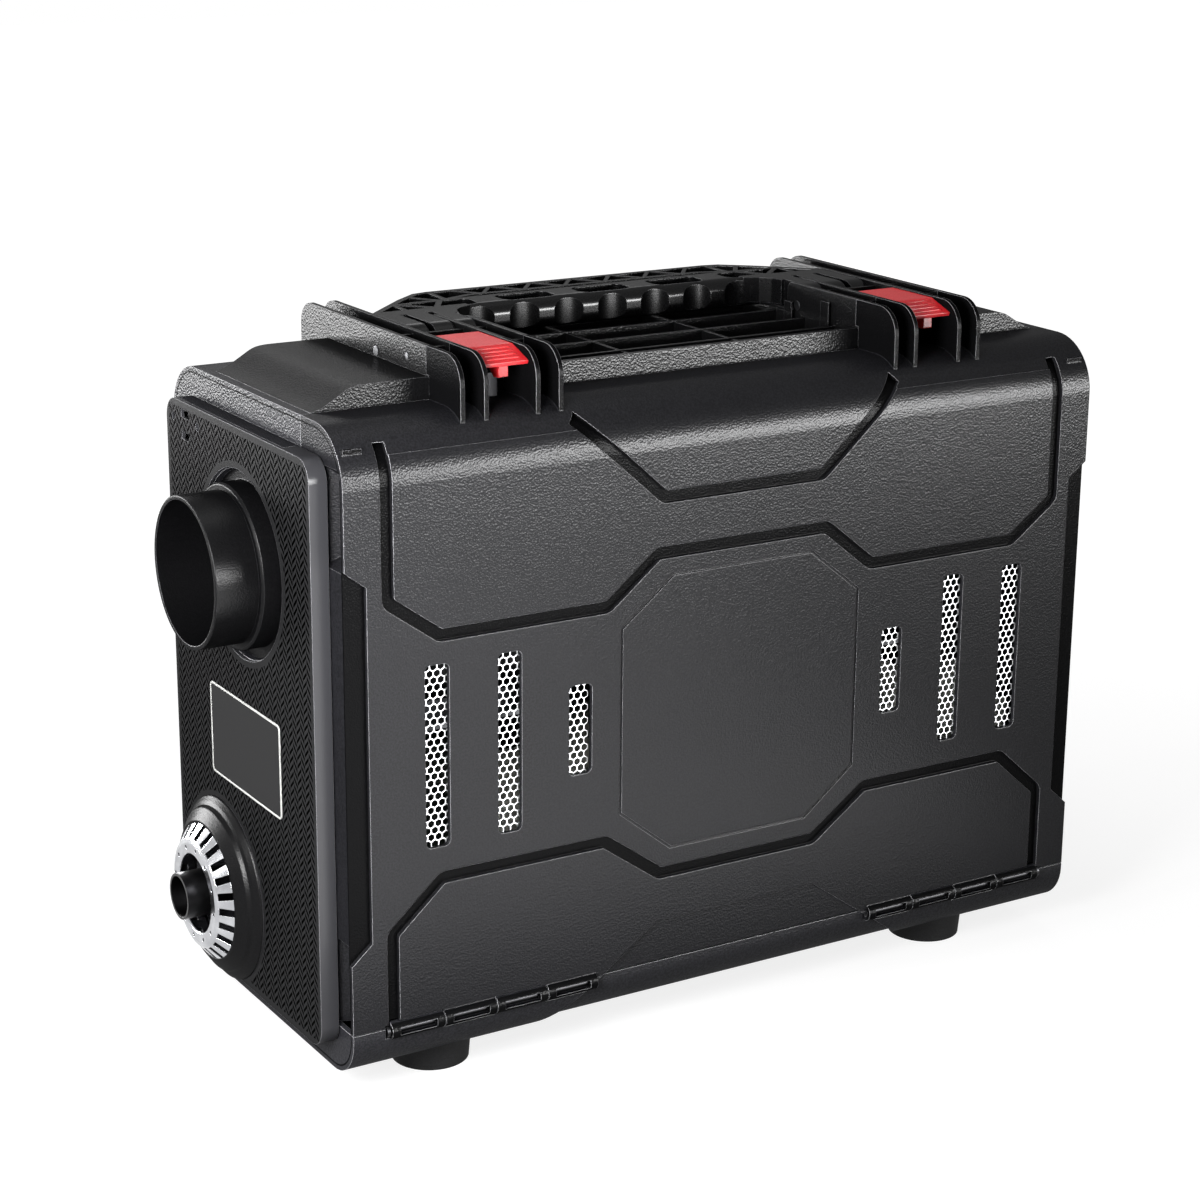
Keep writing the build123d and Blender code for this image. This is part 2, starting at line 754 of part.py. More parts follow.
def combustionHousing():
    hollow = rodX(duct_y, duct_z, 44, chamber_x0 + 4, chamber_x1 - 4)
    drum = rodX(duct_y, duct_z, 52, chamber_x0, chamber_x1) - hollow
    drum -= rodX(duct_y, duct_z, 15, chamber_x0 - 1, chamber_x0 + 5)
    drum += rodZ(intake_x, intake_y, 10, shelf_low - 3, 196)
    drum -= rodZ(intake_x, intake_y, 8.5, 150, 207)
    drum -= hollow
    drum -= rodX(duct_y, duct_z, 4, 225, 240)
    for k in range(3):
        arm = block(chamber_x1 - 8, chamber_x1, -5, 5, 50, 66.5)
        drum += (Pos(0, duct_y, duct_z) * Rot(60 + k * 120, 0, 0) * arm) & caseBlock(case_wall)
    return drum


def combustionWheel():
    wheel = rodX(duct_y, duct_z, 40, 214, 217) + rodX(duct_y, duct_z, 8, 207, 226)
    for k in range(12):
        blade = block(206, 214.5, -0.9, 0.9, 22, 40)
        wheel += Pos(0, duct_y, duct_z) * Rot(k * 30, 0, 0) * blade
    return wheel - rodX(duct_y, duct_z, shaft_r, 200, 230)


def motor():
    can = rodX(duct_y, duct_z, 27, motor_x0, motor_x1)
    can += rodX(duct_y, duct_z, 9, chamber_x1, motor_x1 + 4)
    for k in range(3):
        lug = block(chamber_x1, motor_x0 + 4, -5, 5, 20, 34)
        can += Pos(0, duct_y, duct_z) * Rot(60 + k * 120, 0, 0) * lug
    return can - rodX(duct_y, duct_z, shaft_r + 0.06, 220, 300)


def motorShaft():
    return rodX(duct_y, duct_z, shaft_r, 205, 332)


def fanImpeller():
    hub = rodX(duct_y, duct_z, 17, 304, 326)
    nose = hub.faces().sort_by(Axis.X)[-1].edges()
    hub = fillet(nose, 8)
    for k in range(7):
        blade = Pos(314, 0, 34) * Rot(0, 0, 38) * Box(30, 2.2, 37)
        hub += Pos(0, duct_y, duct_z) * Rot(k * 360 / 7, 0, 0) * blade
    return hub - rodX(duct_y, duct_z, shaft_r, 300, 335)


def roundGrille(x0, x1, outer, inner, bars):
    grille = ringX(duct_y, duct_z, outer, inner, x0, x1)
    for r in bars:
        grille += ringX(duct_y, duct_z, r, r - 2, x0 + 0.5, x1 - 1)
    for k in range(3):
        spoke = block(x0 + 0.5, x1 - 1, -1.5, 1.5, -inner - 1, inner + 1)
        grille += Pos(0, duct_y, duct_z) * Rot(k * 60, 0, 0) * spoke
    return grille


def controlBoard():
    # Plate with a relay, a chip, a heat sink, a capacitor and two hanging posts
    board = block(238, 300, 62, 126, board_z, board_top)
    board += block(246, 260, 70, 92, board_top, 297)
    board += block(264, 276, 74, 86, board_top, 292)
    board += block(281, 293, 68, 120, board_top, 294)
    board += rodZ(262, 106, 6, board_top, 300)
    for x in (241, 297):
        board += block(x - 2, x + 2, 62, 126, board_top, case_z1 - case_wall)
    return board


def heaterShelf():
    # Shelf with a rear flange and two pads under the heater
    rear = body_deep - wall
    shelf = block(wall, 346, 47.3, rear, shelf_low, shelf_high)
    shelf += block(16, 346, 30, 48, shelf_low, shelf_high)
    shelf += block(wall, 346, rear - 2.5, rear, 130, shelf_high)
    shelf += block(50, 300, 56, 72, shelf_high - 0.5, case_z0)
    shelf += block(80, 190, 120, 140, shelf_high - 0.5, case_z0)
    shelf -= rodZ(flue_x, flue_y, flue_r + 2, 150, 180) + rodZ(intake_x, intake_y, 12, 150, 180)
    return shelf - rodZ(fuel_x, duct_y, 4, 150, 180)


def tankBlock(inset):
    low = block(tank_x0 + inset, tank_x1 - inset, 34 + inset, 180 - inset, 3.2 + inset, tank_top - inset)
    riser = block(riser_x0 + inset, tank_x1 - inset, 60 + inset, 180 - inset, 20, riser_top - inset)
    shape = low + riser
    return fillet(shape.edges().filter_by(Axis.Z), 9 - inset) & bodyBlock(wall + 1 + inset)


def fuelTank():
    tank = tankBlock(0) + rodZ(neck_x, neck_y, neck_r, riser_top - 1, neck_top)
    tank -= tankBlock(2.8)
    tank -= rodZ(neck_x, neck_y, neck_r - 2.4, riser_top - 5, 280)
    return tank - rodZ(pickup_x, pickup_y, line_r, tank_top - 5, tank_top + 5)


def tankCap():
    cap = rodZ(neck_x, neck_y, cap_r, cap_low, cap_high)
    cap = chamfer(cap.faces().sort_by(Axis.Z)[-1].edges(), 1.6)
    cap -= rodZ(neck_x, neck_y, neck_r + 0.08, cap_low - 4, neck_top + 2)
    for k in range(12):
        a = math.radians(k * 30)
        x = neck_x + (cap_r + 1) * math.cos(a)
        y = neck_y + (cap_r + 1) * math.sin(a)
        cap -= rodZ(x, y, 2.2, cap_low - 4, cap_high + 6)
    return cap


def tankPickup():
    fitting = rodZ(pickup_x, pickup_y, 7, tank_top, tank_top + 7)
    fitting += rodZ(pickup_x, pickup_y, line_r, 8, tank_top + 12)
    return fitting - rodZ(pickup_x, pickup_y, line_bore, 0, 130)


def tubeAlong(points, bends, outer, inner):
    # Straight runs joined by arcs
    path = FilletPolyline(*points, radius=bends)
    begin = Plane(origin=points[0], z_dir=Vector(*points[1]) - Vector(*points[0]))
    return sweep(begin * (Circle(outer) - Circle(inner)), path=path)


def suctionLine():
    points = [(pickup_x, pickup_y, tank_top + 12), (pickup_x, pickup_y, line_z), (262, pickup_y, line_z)]
    return tubeAlong(points, [5], line_r, line_bore)


def feedLine():
    points = [(312, pickup_y, line_z), (340, pickup_y, line_z)]
    points += [(340, pump_y, pump_z), (322, pump_y, pump_z)]
    return tubeAlong(points, [12, 8], line_r, line_bore)


def pressureLine():
    points = [(234, pump_y, pump_z), (fuel_x, pump_y, pump_z), (fuel_x, duct_y, pump_z)]
    points += [(fuel_x, duct_y, shelf_low - 3.1)]
    return tubeAlong(points, [15, 8], line_r - 0.5, line_bore)


def fuelFilter():
    body = rodX(pickup_y, line_z, 9, 267, 307) + rodX(pickup_y, line_z, line_r, 262, 312)
    return body - rodX(pickup_y, line_z, line_bore, 260, 314) - rodX(pickup_y, line_z, 7.5, 270, 304)


def fuelPump():
    # Stepped barrel with a line stub at each end and a plug socket on top
    body = rodX(pump_y, pump_z, pump_r, 244, 312) + rodX(pump_y, pump_z, 8, 238, 318)
    body += rodX(pump_y, pump_z, line_r, 234, 322)
    return body + block(270, 290, pump_y - 10, pump_y + 10, pump_z + 12, pump_z + 18)


def pumpMount():
    # Two clamp rings on legs that share a base plate
    hole = pump_r + 0.05
    made = block(256, 302, pump_y - 12, pump_y + 12, tank_top, tank_top + 2)
    for x in (256, 292):
        made += rodX(pump_y, pump_z, pump_r + 5, x, x + 10)
        made += block(x, x + 10, pump_y - 12, pump_y + 12, tank_top, pump_z - 12)
    return made - rodX(pump_y, pump_z, hole, 250, 310)


def intakeSilencer():
    can = rodX(intake_y, intake_z, 18, 108, 184)
    can = chamfer(can.edges(), 3) + rodX(intake_y, intake_z, intake_r, 182, 191)
    can += block(130, 160, intake_y - 10, intake_y + 10, tank_top, intake_z - 16)
    can -= rodX(intake_y, intake_z, 15.5, 112, 180)
    return can - rodX(intake_y, intake_z, intake_bore, 178, 192)


def intakeHose():
    points = [(intake_x, intake_y, shelf_low - 3), (intake_x, intake_y, intake_z), (191, intake_y, intake_z)]
    return tubeAlong(points, [12], intake_r, intake_bore)


def controllerCase():
    case = block(panel_x0, panel_x1, panel_y, panel_y + 16, 140, 236)
    case = fillet(case.edges().filter_by(Axis.Y), 6)
    case -= block(screen_x0, screen_x1, panel_y - 1, panel_y + 2, screen_z0, screen_z1)
    for x in key_x:
        case -= block(x - 5.2, x + 5.2, panel_y - 1, panel_y + 6, key_z - 5.2, key_z + 5.2)
    return case


def controllerScreen():
    return block(screen_x0, screen_x1, panel_y + 0.2, panel_y + 2, screen_z0, screen_z1)


def button(x):
    key = block(x - 5, x + 5, panel_y - 1.8, panel_y + 4, key_z - 5, key_z + 5)
    return fillet(key.edges().filter_by(Axis.Y), 2)


def cableGland():
    body = rodX(gland_y, gland_z, gland_r - 0.05, body_len - 4, body_len + 1)
    body += rodX(gland_y, gland_z, 11, body_len, body_len + 3)
    body += rodX(gland_y, gland_z, 8, body_len + 3, body_len + 6)
    body += rodX(gland_y, gland_z, 10, body_len - 8, body_len - wall)
    return body - rodX(gland_y, gland_z, 4, body_len - 10, body_len + 10)


save(rearHousing(), "rear_housing")
save(topDeck(), "top_deck")
save(frontLid(), "front_lid")
save(ventMesh(), "vent_mesh_left")
save(otherEnd(ventMesh()), "vent_mesh_right")
save(lidGasket(), "lid_gasket")
save(latchCatch(), "latch_catch")
save(hingePin(), "hinge_pin_left")
save(otherEnd(hingePin()), "hinge_pin_right")
save(latch(), "latch_left")
save(otherEnd(latch()), "latch_right")
latchPin = rodX(latch_y, latch_z, latch_pin_r, 66.6, 109.9)
save(latchPin, "latch_pin_left")
save(otherEnd(latchPin), "latch_pin_right")
save(handle(), "handle")
handlePin = rodX(handle_y, handle_z, handle_pin_r, 66.6, 122.4)
save(handlePin, "handle_pin_left")
save(otherEnd(handlePin), "handle_pin_right")
save(endPlate(), "end_plate")
save(ductCollar(), "duct_collar")
save(ductSpigot(), "duct_spigot")
save(exhaustBell(), "exhaust_bell")
save(exhaustGuard(), "exhaust_guard")
save(exhaustStub(), "exhaust_stub")
save(exhaustPipe(), "exhaust_pipe")
for side, x in zip(("left", "right"), foot_x):
    for row, y in zip(("front", "rear"), foot_y):
        save(foot(x, y), "foot_" + row + "_" + side)
save(caseLower(), "heater_case_lower")
save(caseUpper(), "heater_case_upper")
save(heatExchanger(), "heat_exchanger")
save(burnerTube(), "burner_tube")
save(glowPlug(), "glow_plug")
save(fuelInlet(), "fuel_inlet")
save(combustionHousing(), "combustion_housing")
save(combustionWheel(), "combustion_wheel")
save(motor(), "motor")
save(motorShaft(), "motor_shaft")
save(fanImpeller(), "fan_impeller")
save(roundGrille(case_x1, case_x1 + 5, 54, 49, (40, 27, 14)), "fan_guard")
save(roundGrille(body_len, body_len + 4, inlet_r, inlet_hole, (36, 27, 18, 9)), "inlet_grille")
save(controlBoard(), "control_board")
save(heaterShelf(), "heater_shelf")
save(fuelTank(), "fuel_tank")
save(tankCap(), "tank_cap")
save(tankPickup(), "tank_pickup")
save(suctionLine(), "suction_line")
save(feedLine(), "feed_line")
save(pressureLine(), "pressure_line")
save(fuelFilter(), "fuel_filter")
save(fuelPump(), "fuel_pump")
save(pumpMount(), "pump_mount")
save(intakeSilencer(), "intake_silencer")
save(intakeHose(), "intake_hose")
save(controllerCase(), "controller_case")
save(controllerScreen(), "controller_screen")
for name, x in zip(("power", "down", "up", "confirm"), key_x):
    save(button(x), "button_" + name)
save(cableGland(), "cable_gland")
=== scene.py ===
import bmesh
import bpy
import math
from mathutils import Matrix, Vector


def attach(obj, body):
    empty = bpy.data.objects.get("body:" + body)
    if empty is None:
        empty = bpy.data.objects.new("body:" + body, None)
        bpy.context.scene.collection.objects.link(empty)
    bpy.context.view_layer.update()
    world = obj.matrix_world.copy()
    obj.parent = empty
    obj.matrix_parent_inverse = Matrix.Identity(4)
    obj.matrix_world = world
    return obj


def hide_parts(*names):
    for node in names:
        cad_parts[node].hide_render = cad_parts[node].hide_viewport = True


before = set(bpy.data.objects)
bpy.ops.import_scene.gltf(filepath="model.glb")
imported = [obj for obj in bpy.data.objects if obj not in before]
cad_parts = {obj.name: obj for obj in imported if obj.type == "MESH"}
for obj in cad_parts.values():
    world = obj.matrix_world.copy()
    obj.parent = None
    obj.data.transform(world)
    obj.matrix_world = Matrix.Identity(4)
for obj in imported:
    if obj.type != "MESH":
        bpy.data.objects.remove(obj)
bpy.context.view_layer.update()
print("frame loaded,", len(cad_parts), "nodes")

# The case in millimetres: x from the outlet end, y from the front, z from its underside
caseShift = Vector((-203.5, -95.95, 16.5))
caseSize = {"long": 440.0, "deep": 195.0, "high": 321.5, "topRound": 28.0, "lowRound": 22.0}


def place(x, y, z):
    return (Vector((x, y, z)) + caseShift) / 1000


# The photograph's viewpoint, with the eye in case millimetres and the angles in degrees
photoCamera = {
    "eye": (-515.6, -1070.4, 597.2), "yaw": 31.3416, "pitch": 16.6081, "roll": 0.4337,
    "lens": 81.23, "sensor": 36, "farM": 20}


def makeCamera(spec):
    yaw, pitch, roll = (math.radians(spec[k]) for k in ("yaw", "pitch", "roll"))
    ahead = Vector((math.sin(yaw) * math.cos(pitch), math.cos(yaw) * math.cos(pitch), -math.sin(pitch)))
    right = Vector((math.cos(yaw), -math.sin(yaw), 0))
    up = right.cross(ahead)
    rolledRight = math.cos(roll) * right + math.sin(roll) * up
    rolledUp = math.cos(roll) * up - math.sin(roll) * right
    turn = Matrix((rolledRight, rolledUp, -ahead)).transposed()
    lens = bpy.data.cameras.new("photoCamera")
    lens.lens = spec["lens"]
    lens.sensor_width = spec["sensor"]
    lens.clip_end = spec["farM"]
    camera = bpy.data.objects.new("photoCamera", lens)
    camera.matrix_world = Matrix.Translation(place(*spec["eye"])) @ turn.to_4x4()
    bpy.context.scene.collection.objects.link(camera)
    bpy.context.scene.camera = camera


makeCamera(photoCamera)
bpy.context.scene.view_settings.view_transform = "Standard"
print("camera set")


def toLinear(hexText):
    values = [int(hexText[i:i + 2], 16) / 255 for i in (1, 3, 5)]
    return [v / 12.92 if v <= 0.04045 else ((v + 0.055) / 1.055) ** 2.4 for v in values] + [1.0]


# Adds a node: settings are its own fields, and each input gets a link or a value. With an output's name or
# number it gives that socket back, and otherwise the node
def addNode(tree, kind, settings=None, inputs=(), output=None):
    node = tree.nodes.new("ShaderNode" + kind)
    for name, value in (settings or {}).items():
        setattr(node, name, value)
    for name, value in inputs.items() if isinstance(inputs, dict) else enumerate(inputs):
        if isinstance(value, bpy.types.NodeSocket):
            tree.links.new(value, node.inputs[name])
        else:
            node.inputs[name].default_value = value
    return node if output is None else node.outputs[output]


def newMaterial(name):
    material = bpy.data.materials.new(name)
    material.use_nodes = True
    tree = material.node_tree
    tree.nodes.clear()
    return material, tree


# How far a point lies under the case's rounded outline, in metres. Above mid height the corners are rounder
def depthInCase(tree, where):
    centre = place(0, caseSize["deep"] / 2, caseSize["high"] / 2)
    lowRound, topRound = caseSize["lowRound"] / 1000, caseSize["topRound"] / 1000
    halfDeep, halfHigh = caseSize["deep"] / 2000, caseSize["high"] / 2000
    parts = addNode(tree, "SeparateXYZ", None, {"Vector": where})
    height = addNode(tree, "Math", {"operation": "SUBTRACT"}, (parts.outputs["Z"], centre.z), 0)
    isTop = addNode(tree, "Math", {"operation": "GREATER_THAN"}, (height, 0.0), 0)
    corner = addNode(tree, "Math", {"operation": "MULTIPLY_ADD"}, (isTop, topRound - lowRound, lowRound), 0)
    sideways = addNode(tree, "Math", {"operation": "SUBTRACT"}, (parts.outputs["Y"], centre.y), 0)
    past = []
    for value, half in ((sideways, halfDeep), (height, halfHigh)):
        value = addNode(tree, "Math", {"operation": "ABSOLUTE"}, (value,), 0)
        value = addNode(tree, "Math", {"operation": "SUBTRACT"}, (value, half), 0)
        past.append(addNode(tree, "Math", {"operation": "ADD"}, (value, corner), 0))
    inside = addNode(tree, "Math", {"operation": "MAXIMUM"}, past, 0)
    inside = addNode(tree, "Math", {"operation": "MINIMUM"}, (inside, 0.0), 0)
    squares = []
    for value in past:
        value = addNode(tree, "Math", {"operation": "MAXIMUM"}, (value, 0.0), 0)
        squares.append(addNode(tree, "Math", {"operation": "POWER"}, (value, 2.0), 0))
    outside = addNode(tree, "Math", {"operation": "ADD"}, squares, 0)
    outside = addNode(tree, "Math", {"operation": "SQRT"}, (outside,), 0)
    reach = addNode(tree, "Math", {"operation": "ADD"}, (inside, outside), 0)
    return addNode(tree, "Math", {"operation": "SUBTRACT"}, (corner, reach), 0)


# What all plastics share. All their gloss comes from a thin clear coat, so that its strength can be set
plastic = {"ior": 1.54, "coatIor": 1.8, "smoother": 0.04, "rougher": 0.06, "grainMm": 0.25,
           "mottle": (0.38, 0.62), "fineShare": 0.6}
# The painted highlight along free edges begins and is full where the bevelled surface turns this far from the
# flat one
paintedHighlightEdge = {"turn": (0.94, 0.78), "nookMm": 2.5, "nook": (0.8, 0.95)}
# The grooves' floors lie this deep under the case's outline, and the towers and knuckles stand outside it.
# The grooves get painted shade: a near black colour and less gloss
grooveBand = {"topMm": (2.1, 2.4), "bottomMm": (3.3, 2.9), "outsideMm": (-0.2, -0.6), "skinShare": 0.25}


# Moulded plastic: a satin skin whose fine grain breaks up the light, with a painted highlight along free
# edges and, where set, painted shade in the grooves.
# The real grain is about 0.4 mm, and it is drawn two to three times coarser so that it still shows
# from a step away
def mouldedPlastic(name, spec):
    material, tree = newMaterial(name)
    where = addNode(tree, "TexCoord", None, (), "Object")
    fine = 1000 / spec["grainMm"]
    grain = addNode(tree, "TexVoronoi", None, {"Scale": fine, "Vector": where}, "Distance")
    speck = addNode(tree, "TexNoise", None, {"Scale": fine, "Detail": 1.0, "Vector": where}, "Fac")
    broad = {"Scale": 1000 / spec["cloudMm"], "Detail": 3.0, "Vector": where}
    cloud = addNode(tree, "TexNoise", None, broad, "Fac")
    low, high = plastic["mottle"]
    mottle = addNode(tree, "MapRange", None, {"From Min": low, "From Max": high, "Value": speck}, 0)
    share = addNode(tree, "Math", {"operation": "MULTIPLY"}, (cloud, 1 - plastic["fineShare"]), 0)
    mottle = addNode(tree, "Math", {"operation": "MULTIPLY_ADD"}, (mottle, plastic["fineShare"], share), 0)
    colour = addNode(tree, "Mix", {"data_type": "RGBA"},
                     {0: mottle, 6: toLinear(spec["dark"]), 7: toLinear(spec["light"])}, 2)
    rough = addNode(tree, "MapRange", None, {
        "To Min": spec["rough"] - plastic["smoother"], "To Max": spec["rough"] + plastic["rougher"],
        "Value": cloud}, 0)
    edge = addNode(tree, "Bevel", {"samples": 8}, {"Radius": spec["edgeMm"] / 1000}, 0)
    skin = spec["skin"]
    # Painted highlight: free edges, where the bevelled normal turns away from the flat one, are mixed towards
    # a pale colour
    if "paintedHighlight" in spec:
        flat = addNode(tree, "NewGeometry", None, (), "True Normal")
        turn = addNode(tree, "VectorMath", {"operation": "DOT_PRODUCT"}, (edge, flat), "Value")
        starts, full = paintedHighlightEdge["turn"]
        paintedHighlight = addNode(tree, "MapRange", None, {
            "From Min": starts, "From Max": full, "To Max": spec["paintedHighlightMost"], "Value": turn}, 0)
        # The painted edge highlight is kept off inner corners, where ambient occlusion finds surfaces close
        # by: only edges that stand free get it
        nook = addNode(tree, "AmbientOcclusion", {"samples": 4, "only_local": True},
                       {"Distance": paintedHighlightEdge["nookMm"] / 1000}, "AO")
        dark, free = paintedHighlightEdge["nook"]
        free = addNode(tree, "MapRange", None, {"From Min": dark, "From Max": free, "Value": nook}, 0)
        paintedHighlight = addNode(tree, "Math", {"operation": "MULTIPLY"}, (paintedHighlight, free), 0)
        # Painted shade: the grooves' floors are mixed towards near black and their gloss is cut down; the
        # towers and knuckles take a darker colour and less gloss too
        if "paintedGrooveShade" in spec:
            depth = depthInCase(tree, where)
            bands = []
            for key in ("topMm", "bottomMm", "outsideMm"):
                starts, full = grooveBand[key]
                bands.append(addNode(tree, "MapRange", None, {
                    "From Min": starts / 1000, "From Max": full / 1000, "Value": depth}, 0))
            paintedGrooveShade = addNode(tree, "Math", {"operation": "MULTIPLY"}, bands[:2], 0)
            beyond = bands[2]
            for share, paint in ((paintedGrooveShade, "paintedGrooveShade"), (beyond, "beyond")):
                colour = addNode(tree, "Mix", {"data_type": "RGBA"},
                                 {0: share, 6: colour, 7: toLinear(spec[paint])}, 2)
            bare = addNode(tree, "Math", {"operation": "SUBTRACT"}, (1.0, paintedGrooveShade), 0)
            paintedHighlight = addNode(tree, "Math", {"operation": "MULTIPLY"}, (paintedHighlight, bare), 0)
            either = addNode(tree, "Math", {"operation": "MAXIMUM"}, (paintedGrooveShade, beyond), 0)
            panel = addNode(tree, "Math", {"operation": "SUBTRACT"}, (1.0, either), 0)
            least = skin * grooveBand["skinShare"]
            skin = addNode(tree, "Math", {"operation": "MULTIPLY_ADD"}, (panel, skin - least, least), 0)
        colour = addNode(tree, "Mix", {"data_type": "RGBA"},
                         {0: paintedHighlight, 6: colour, 7: toLinear(spec["paintedHighlight"])}, 2)
    bump = addNode(tree, "Bump", None, {
        "Strength": spec["bump"], "Distance": plastic["grainMm"] / 1000, "Height": grain, "Normal": edge}, 0)
    shader = addNode(tree, "BsdfPrincipled", None, {
        "Base Color": colour, "Roughness": rough, "Normal": bump, "IOR": plastic["ior"],
        "Specular IOR Level": 0.0, "Coat Weight": skin, "Coat Roughness": spec["skinRough"],
        "Coat IOR": plastic["coatIor"], "Coat Normal": bump}, 0)
    addNode(tree, "OutputMaterial", None, {"Surface": shader})
    return material


# Grained ABS of the lid: a satin charcoal, with painted shade that turns the grooves black and a painted
# silvery highlight along free edges
shellAbs = mouldedPlastic("shellAbs", {
    "dark": "#141416", "light": "#242427", "rough": 0.5, "grainMm": 1.0, "cloudMm": 60, "bump": 0.45,
    "edgeMm": 0.7, "skin": 0.08, "skinRough": 0.28, "paintedHighlight": "#C4C4C8", "paintedHighlightMost": 0.6,
    "paintedGrooveShade": "#070708", "beyond": "#0C0C0D"})
# Coarser grained ABS of the housing: a lighter charcoal that sparkles a little at its end, with painted shade
# in its grooves and a painted pale highlight along free edges
housingAbs = mouldedPlastic("housingAbs", {
    "dark": "#1D1D20", "light": "#323236", "rough": 0.5, "grainMm": 1.1, "cloudMm": 50, "bump": 0.7,
    "edgeMm": 0.7, "skin": 0.1, "skinRough": 0.28, "paintedHighlight": "#C4C4C8", "paintedHighlightMost": 0.6,
    "paintedGrooveShade": "#070708", "beyond": "#0C0C0D"})
# Grained ABS of the saddle and tray: near black, with a painted grey highlight along the rib edges
deckAbs = mouldedPlastic("deckAbs", {
    "dark": "#0A0A0B", "light": "#161617", "rough": 0.5, "grainMm": 1.1, "cloudMm": 40, "bump": 0.5,
    "edgeMm": 0.5, "skin": 0.09, "skinRough": 0.28, "paintedHighlight": "#8F8F92", "paintedHighlightMost": 0.6})
# Finely grained ABS of the outlets and the inside: black with broad soft lights, and a painted grey highlight
# along free edges
smoothAbs = mouldedPlastic("smoothAbs", {
    "dark": "#070708", "light": "#0E0E0F", "rough": 0.4, "grainMm": 0.9, "cloudMm": 40, "bump": 0.25,
    "edgeMm": 0.8, "skin": 0.09, "skinRough": 0.3, "paintedHighlight": "#6E6E72", "paintedHighlightMost": 0.5})
# Polished ABS of the handle: black, with a small bright light on each scallop and a painted grey highlight
# along free edges
gripAbs = mouldedPlastic("gripAbs", {
    "dark": "#09090A", "light": "#0E0E0F", "rough": 0.4, "grainMm": 0.9, "cloudMm": 40, "bump": 0.03,
    "edgeMm": 0.8, "skin": 0.12, "skinRough": 0.22, "paintedHighlight": "#6E6E72", "paintedHighlightMost": 0.4})
# Glossy red ABS of the latches and the power key: a signal red that goes pink where it mirrors white, with a
# painted pink highlight along free edges
redAbs = mouldedPlastic("redAbs", {
    "dark": "#E3252B", "light": "#F2333A", "rough": 0.4, "grainMm": 0.9, "cloudMm": 40, "bump": 0.06,
    "edgeMm": 0.7, "skin": 0.18, "skinRough": 0.25, "paintedHighlight": "#F2686C", "paintedHighlightMost": 0.6})
# Vulcanised rubber of the feet, hoses and seal: a dull dark grey with no clear reflection
rubber = mouldedPlastic("rubber", {
    "dark": "#202021", "light": "#2A2A2B", "rough": 0.7, "grainMm": 0.8, "cloudMm": 20, "bump": 0.12,
    "edgeMm": 1.5, "skin": 0.12, "skinRough": 0.35})
# Glass-filled nylon of the fan: blue-black, with a faint mottle
fanNylon = mouldedPlastic("fanNylon", {
    "dark": "#1A1B1D", "light": "#222326", "rough": 0.5, "grainMm": 1.4, "cloudMm": 15, "bump": 0.1,
    "edgeMm": 0.4, "skin": 0.25, "skinRough": 0.35})
# Solder lacquer of the board: a shiny mid green
boardLacquer = mouldedPlastic("boardLacquer", {
    "dark": "#11502E", "light": "#1A6239", "rough": 0.35, "grainMm": 2.0, "cloudMm": 6, "bump": 0.08,
    "edgeMm": 0.2, "skin": 0.4, "skinRough": 0.2})
# Polished acrylic of the display, unlit: grey-green, with a sharp reflection
screenAcrylic = mouldedPlastic("screenAcrylic", {
    "dark": "#37423B", "light": "#3F4B43", "rough": 0.3, "grainMm": 2.0, "cloudMm": 30, "bump": 0.0,
    "edgeMm": 0.3, "skin": 0.5, "skinRough": 0.06})
# Blow-moulded polyethylene of the tank: a waxy off-white with large soft corners
tankPolyethylene = mouldedPlastic("tankPolyethylene", {
    "dark": "#CFCEC4", "light": "#DDDCD3", "rough": 0.5, "grainMm": 2.5, "cloudMm": 50, "bump": 0.1,
    "edgeMm": 2.0, "skin": 0.25, "skinRough": 0.35})
# Screen ink of the data plate's rim: a flat pale grey
paleInk = mouldedPlastic("paleInk", {
    "dark": "#B9B9B6", "light": "#C6C6C3", "rough": 0.5, "grainMm": 1.0, "cloudMm": 20, "bump": 0.05,
    "edgeMm": 0.2, "skin": 0.2, "skinRough": 0.3})
# Polyester film of the data plate's field: a satin near black
satinFilm = mouldedPlastic("satinFilm", {
    "dark": "#151516", "light": "#19191A", "rough": 0.35, "grainMm": 0.8, "cloudMm": 25, "bump": 0.06,
    "edgeMm": 0.2, "skin": 0.2, "skinRough": 0.2})

# Each outlet's plain ring is the y and z of its middle and its radius
herringbone = {
    "columnMm": 4.3, "stepMm": 4.2, "cutWideMm": 1.35, "cutReachMm": 2.0, "firstMm": 25.65,
    "softShare": 0.03, "softMm": 0.15, "cutDeepMm": 0.5, "lean": 45,
    "acrossMm": (17.5, 177.0), "upMm": (17.5, 303.0), "ductMm": (94.0, 238.5, 50.8),
    "flueMm": (127.0, 59.0, 50.5),
    # The cuts' near black is painted shade, and the pale edge colour is a painted highlight
    "face": "#202021", "cutAndShade": "#020202", "rim": "#38383B", "paintedHighlight": "#9A9A9E", "paintedHighlightMost": 0.7,
    "edgeMm": 0.6, "edgeTurn": (0.97, 0.8), "rimFacing": (0.6, 0.4), "bump": 0.6, "rough": 0.42,
    "cutRougher": 0.25, "skin": 0.06, "cutSkin": -0.05, "rimSkin": 0.1, "skinRough": 0.3}
